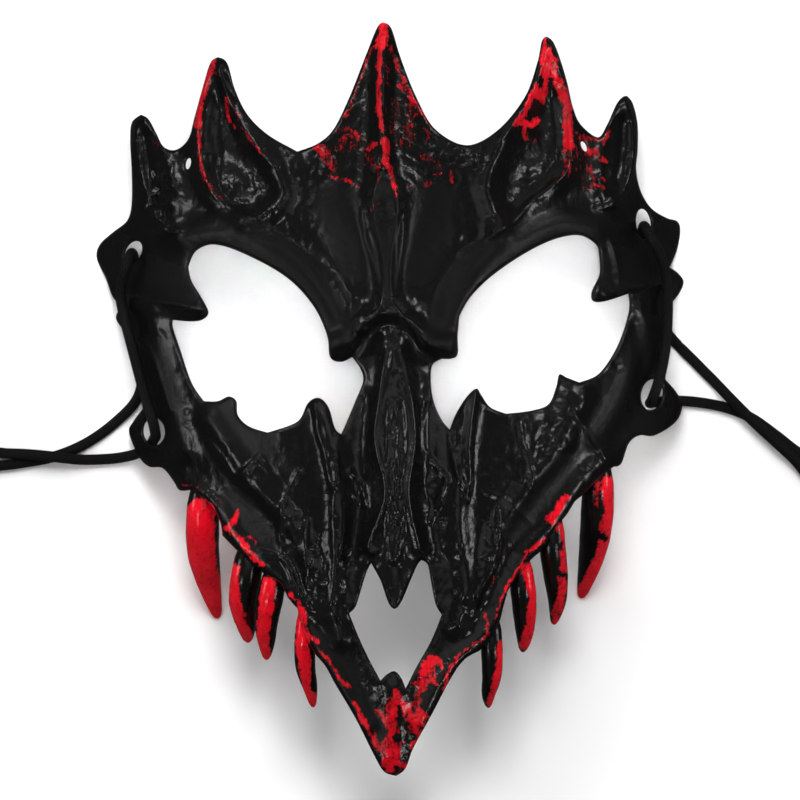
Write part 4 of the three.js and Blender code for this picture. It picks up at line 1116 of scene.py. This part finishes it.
def camera():
    """A camera straight above the mask, far off, with a lens as long as that needs."""
    data = bpy.data.cameras.new("camera")
    data.sensor_width = SENSOR
    data.lens = SENSOR * CAMERA_DISTANCE / (PICTURE * PIXEL)
    data.clip_end = 20
    viewer = bpy.data.objects.new("camera", data)
    x, y, z = VIEW_CENTRE
    viewer.location = mm((x, y, z + CAMERA_DISTANCE))
    bpy.context.scene.collection.objects.link(viewer)
    bpy.context.scene.camera = viewer


def lamp(name, place, size, power, shines, aim=(0, 0, 0.04), spread=180):
    """A square soft lamp that faces the mask. One that doesn't shine gives light but no highlights."""
    data = bpy.data.lights.new(name, "AREA")
    data.spread = math.radians(spread)
    data.size = size
    data.energy = power
    light = bpy.data.objects.new(name, data)
    light.location = place
    light.visible_glossy = shines
    light.rotation_mode = "QUATERNION"
    light.rotation_quaternion = (Vector(aim) - Vector(place)).to_track_quat("-Z", "Y")
    bpy.context.scene.collection.objects.link(light)


def sky():
    """White light that comes from the sides and hardly from straight above, as in a tent of soft cloth."""
    world = bpy.data.worlds.new("studio")
    world.use_nodes = True
    tree = world.node_tree
    direction = add(tree, "ShaderNodeTexCoord").outputs["Generated"]
    parts = add(tree, "ShaderNodeSeparateXYZ", Vector=direction).outputs
    bands = add(tree, "ShaderNodeValToRGB", Fac=remap(tree, parts["Z"], 0.0, 1.0, start=-1.0))
    stops = bands.color_ramp.elements
    ends = {0.0: stops[0], 1.0: stops[1]}
    for place, level in SKY:
        stop = ends[place] if place in ends else stops.new(place)
        stop.color = (level, level, level, 1)
    background = tree.nodes["Background"].inputs
    feed(tree, background["Color"], bands.outputs["Color"])
    feed(tree, background["Strength"], remap(tree, parts["Y"], SKY_AT_CHIN, SKY_AT_CROWN, start=-1.0))
    return world


def studio():
    """The pale floor and the soft lamps."""
    corners = [(x * FLOOR_HALF, y * FLOOR_HALF, 0) for x, y in ((-1, -1), (1, -1), (1, 1), (-1, 1))]
    floor = new_mesh("floor", corners, [(0, 1, 2, 3)])
    material, tree, shader = node_tree("pale_floor")
    feed(tree, shader.inputs["Base Color"], FLOOR_WHITE)
    feed(tree, shader.inputs["Roughness"], FLOOR_ROUGHNESS)
    floor.data.materials.append(material)
    floor.visible_glossy = False
    bpy.context.scene.world = sky()
    for row in LAMPS:
        lamp(*row)
    bpy.context.scene.view_settings.view_transform = "Standard"


def dress(piece, material, slot, *nodes):
    """Gives a piece its material and its places in the frame."""
    piece.data.materials.append(material)
    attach(piece, "root")
    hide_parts(*nodes)


def knot(side, material):
    """The knot that ties a cord's two ends together: turns of cord wound round a straight core."""
    first, last = np.array(CORDS[side][0]), np.array(CORDS[side][-1])
    along = (last - first) / np.linalg.norm(last - first)
    across = np.cross(along, (0.0, 0.0, 1.0))
    across /= np.linalg.norm(across)
    up = np.cross(along, across)
    core_line = mm([first, (first + last) / 2, last])
    core = tube(f"{side}_knot_core", core_line, np.full(3, KNOT_CORE * MM), CORD_SIDES)
    share = np.linspace(0, 1, KNOT_STEPS)[:, None]
    turn = 2 * np.pi * KNOT_TURNS * share
    out = KNOT_COIL * smoothstep(np.minimum(share, 1 - share), *KNOT_TAPER)
    middle = first + (last - first) * (KNOT_BARE + (1 - 2 * KNOT_BARE) * share)
    line = middle + out * (np.cos(turn) * across + np.sin(turn) * up)
    wound = tube(f"{side}_knot_turns", mm(line), np.full(KNOT_STEPS, KNOT_STRAND * MM), CORD_SIDES)
    for piece in (core, wound):
        dress(piece, material, "black_elastic", f"{side}_knot")
    return [core, wound]


def cord(side, material):
    """One cord with its knot, as a tube along its route."""
    line = mm(centripetal(CORDS[side], CORD_STEPS))
    piece = tube(f"{side}_elastic", line, np.full(len(line), CORD_DIAMETER * MM / 2), CORD_SIDES)
    dress(piece, material, "black_elastic", f"{side}_cord")
    knot(side, material)


camera()
studio()
plastic = plastic_material()
elastic = elastic_material()
for side in CORDS:
    cord(side, elastic)
dress(shell(), plastic, "black_plastic", "mask_shell")
for number, row in enumerate(FANGS, 1):
    dress(fang(number, *row), plastic, "black_plastic", "mask_shell")
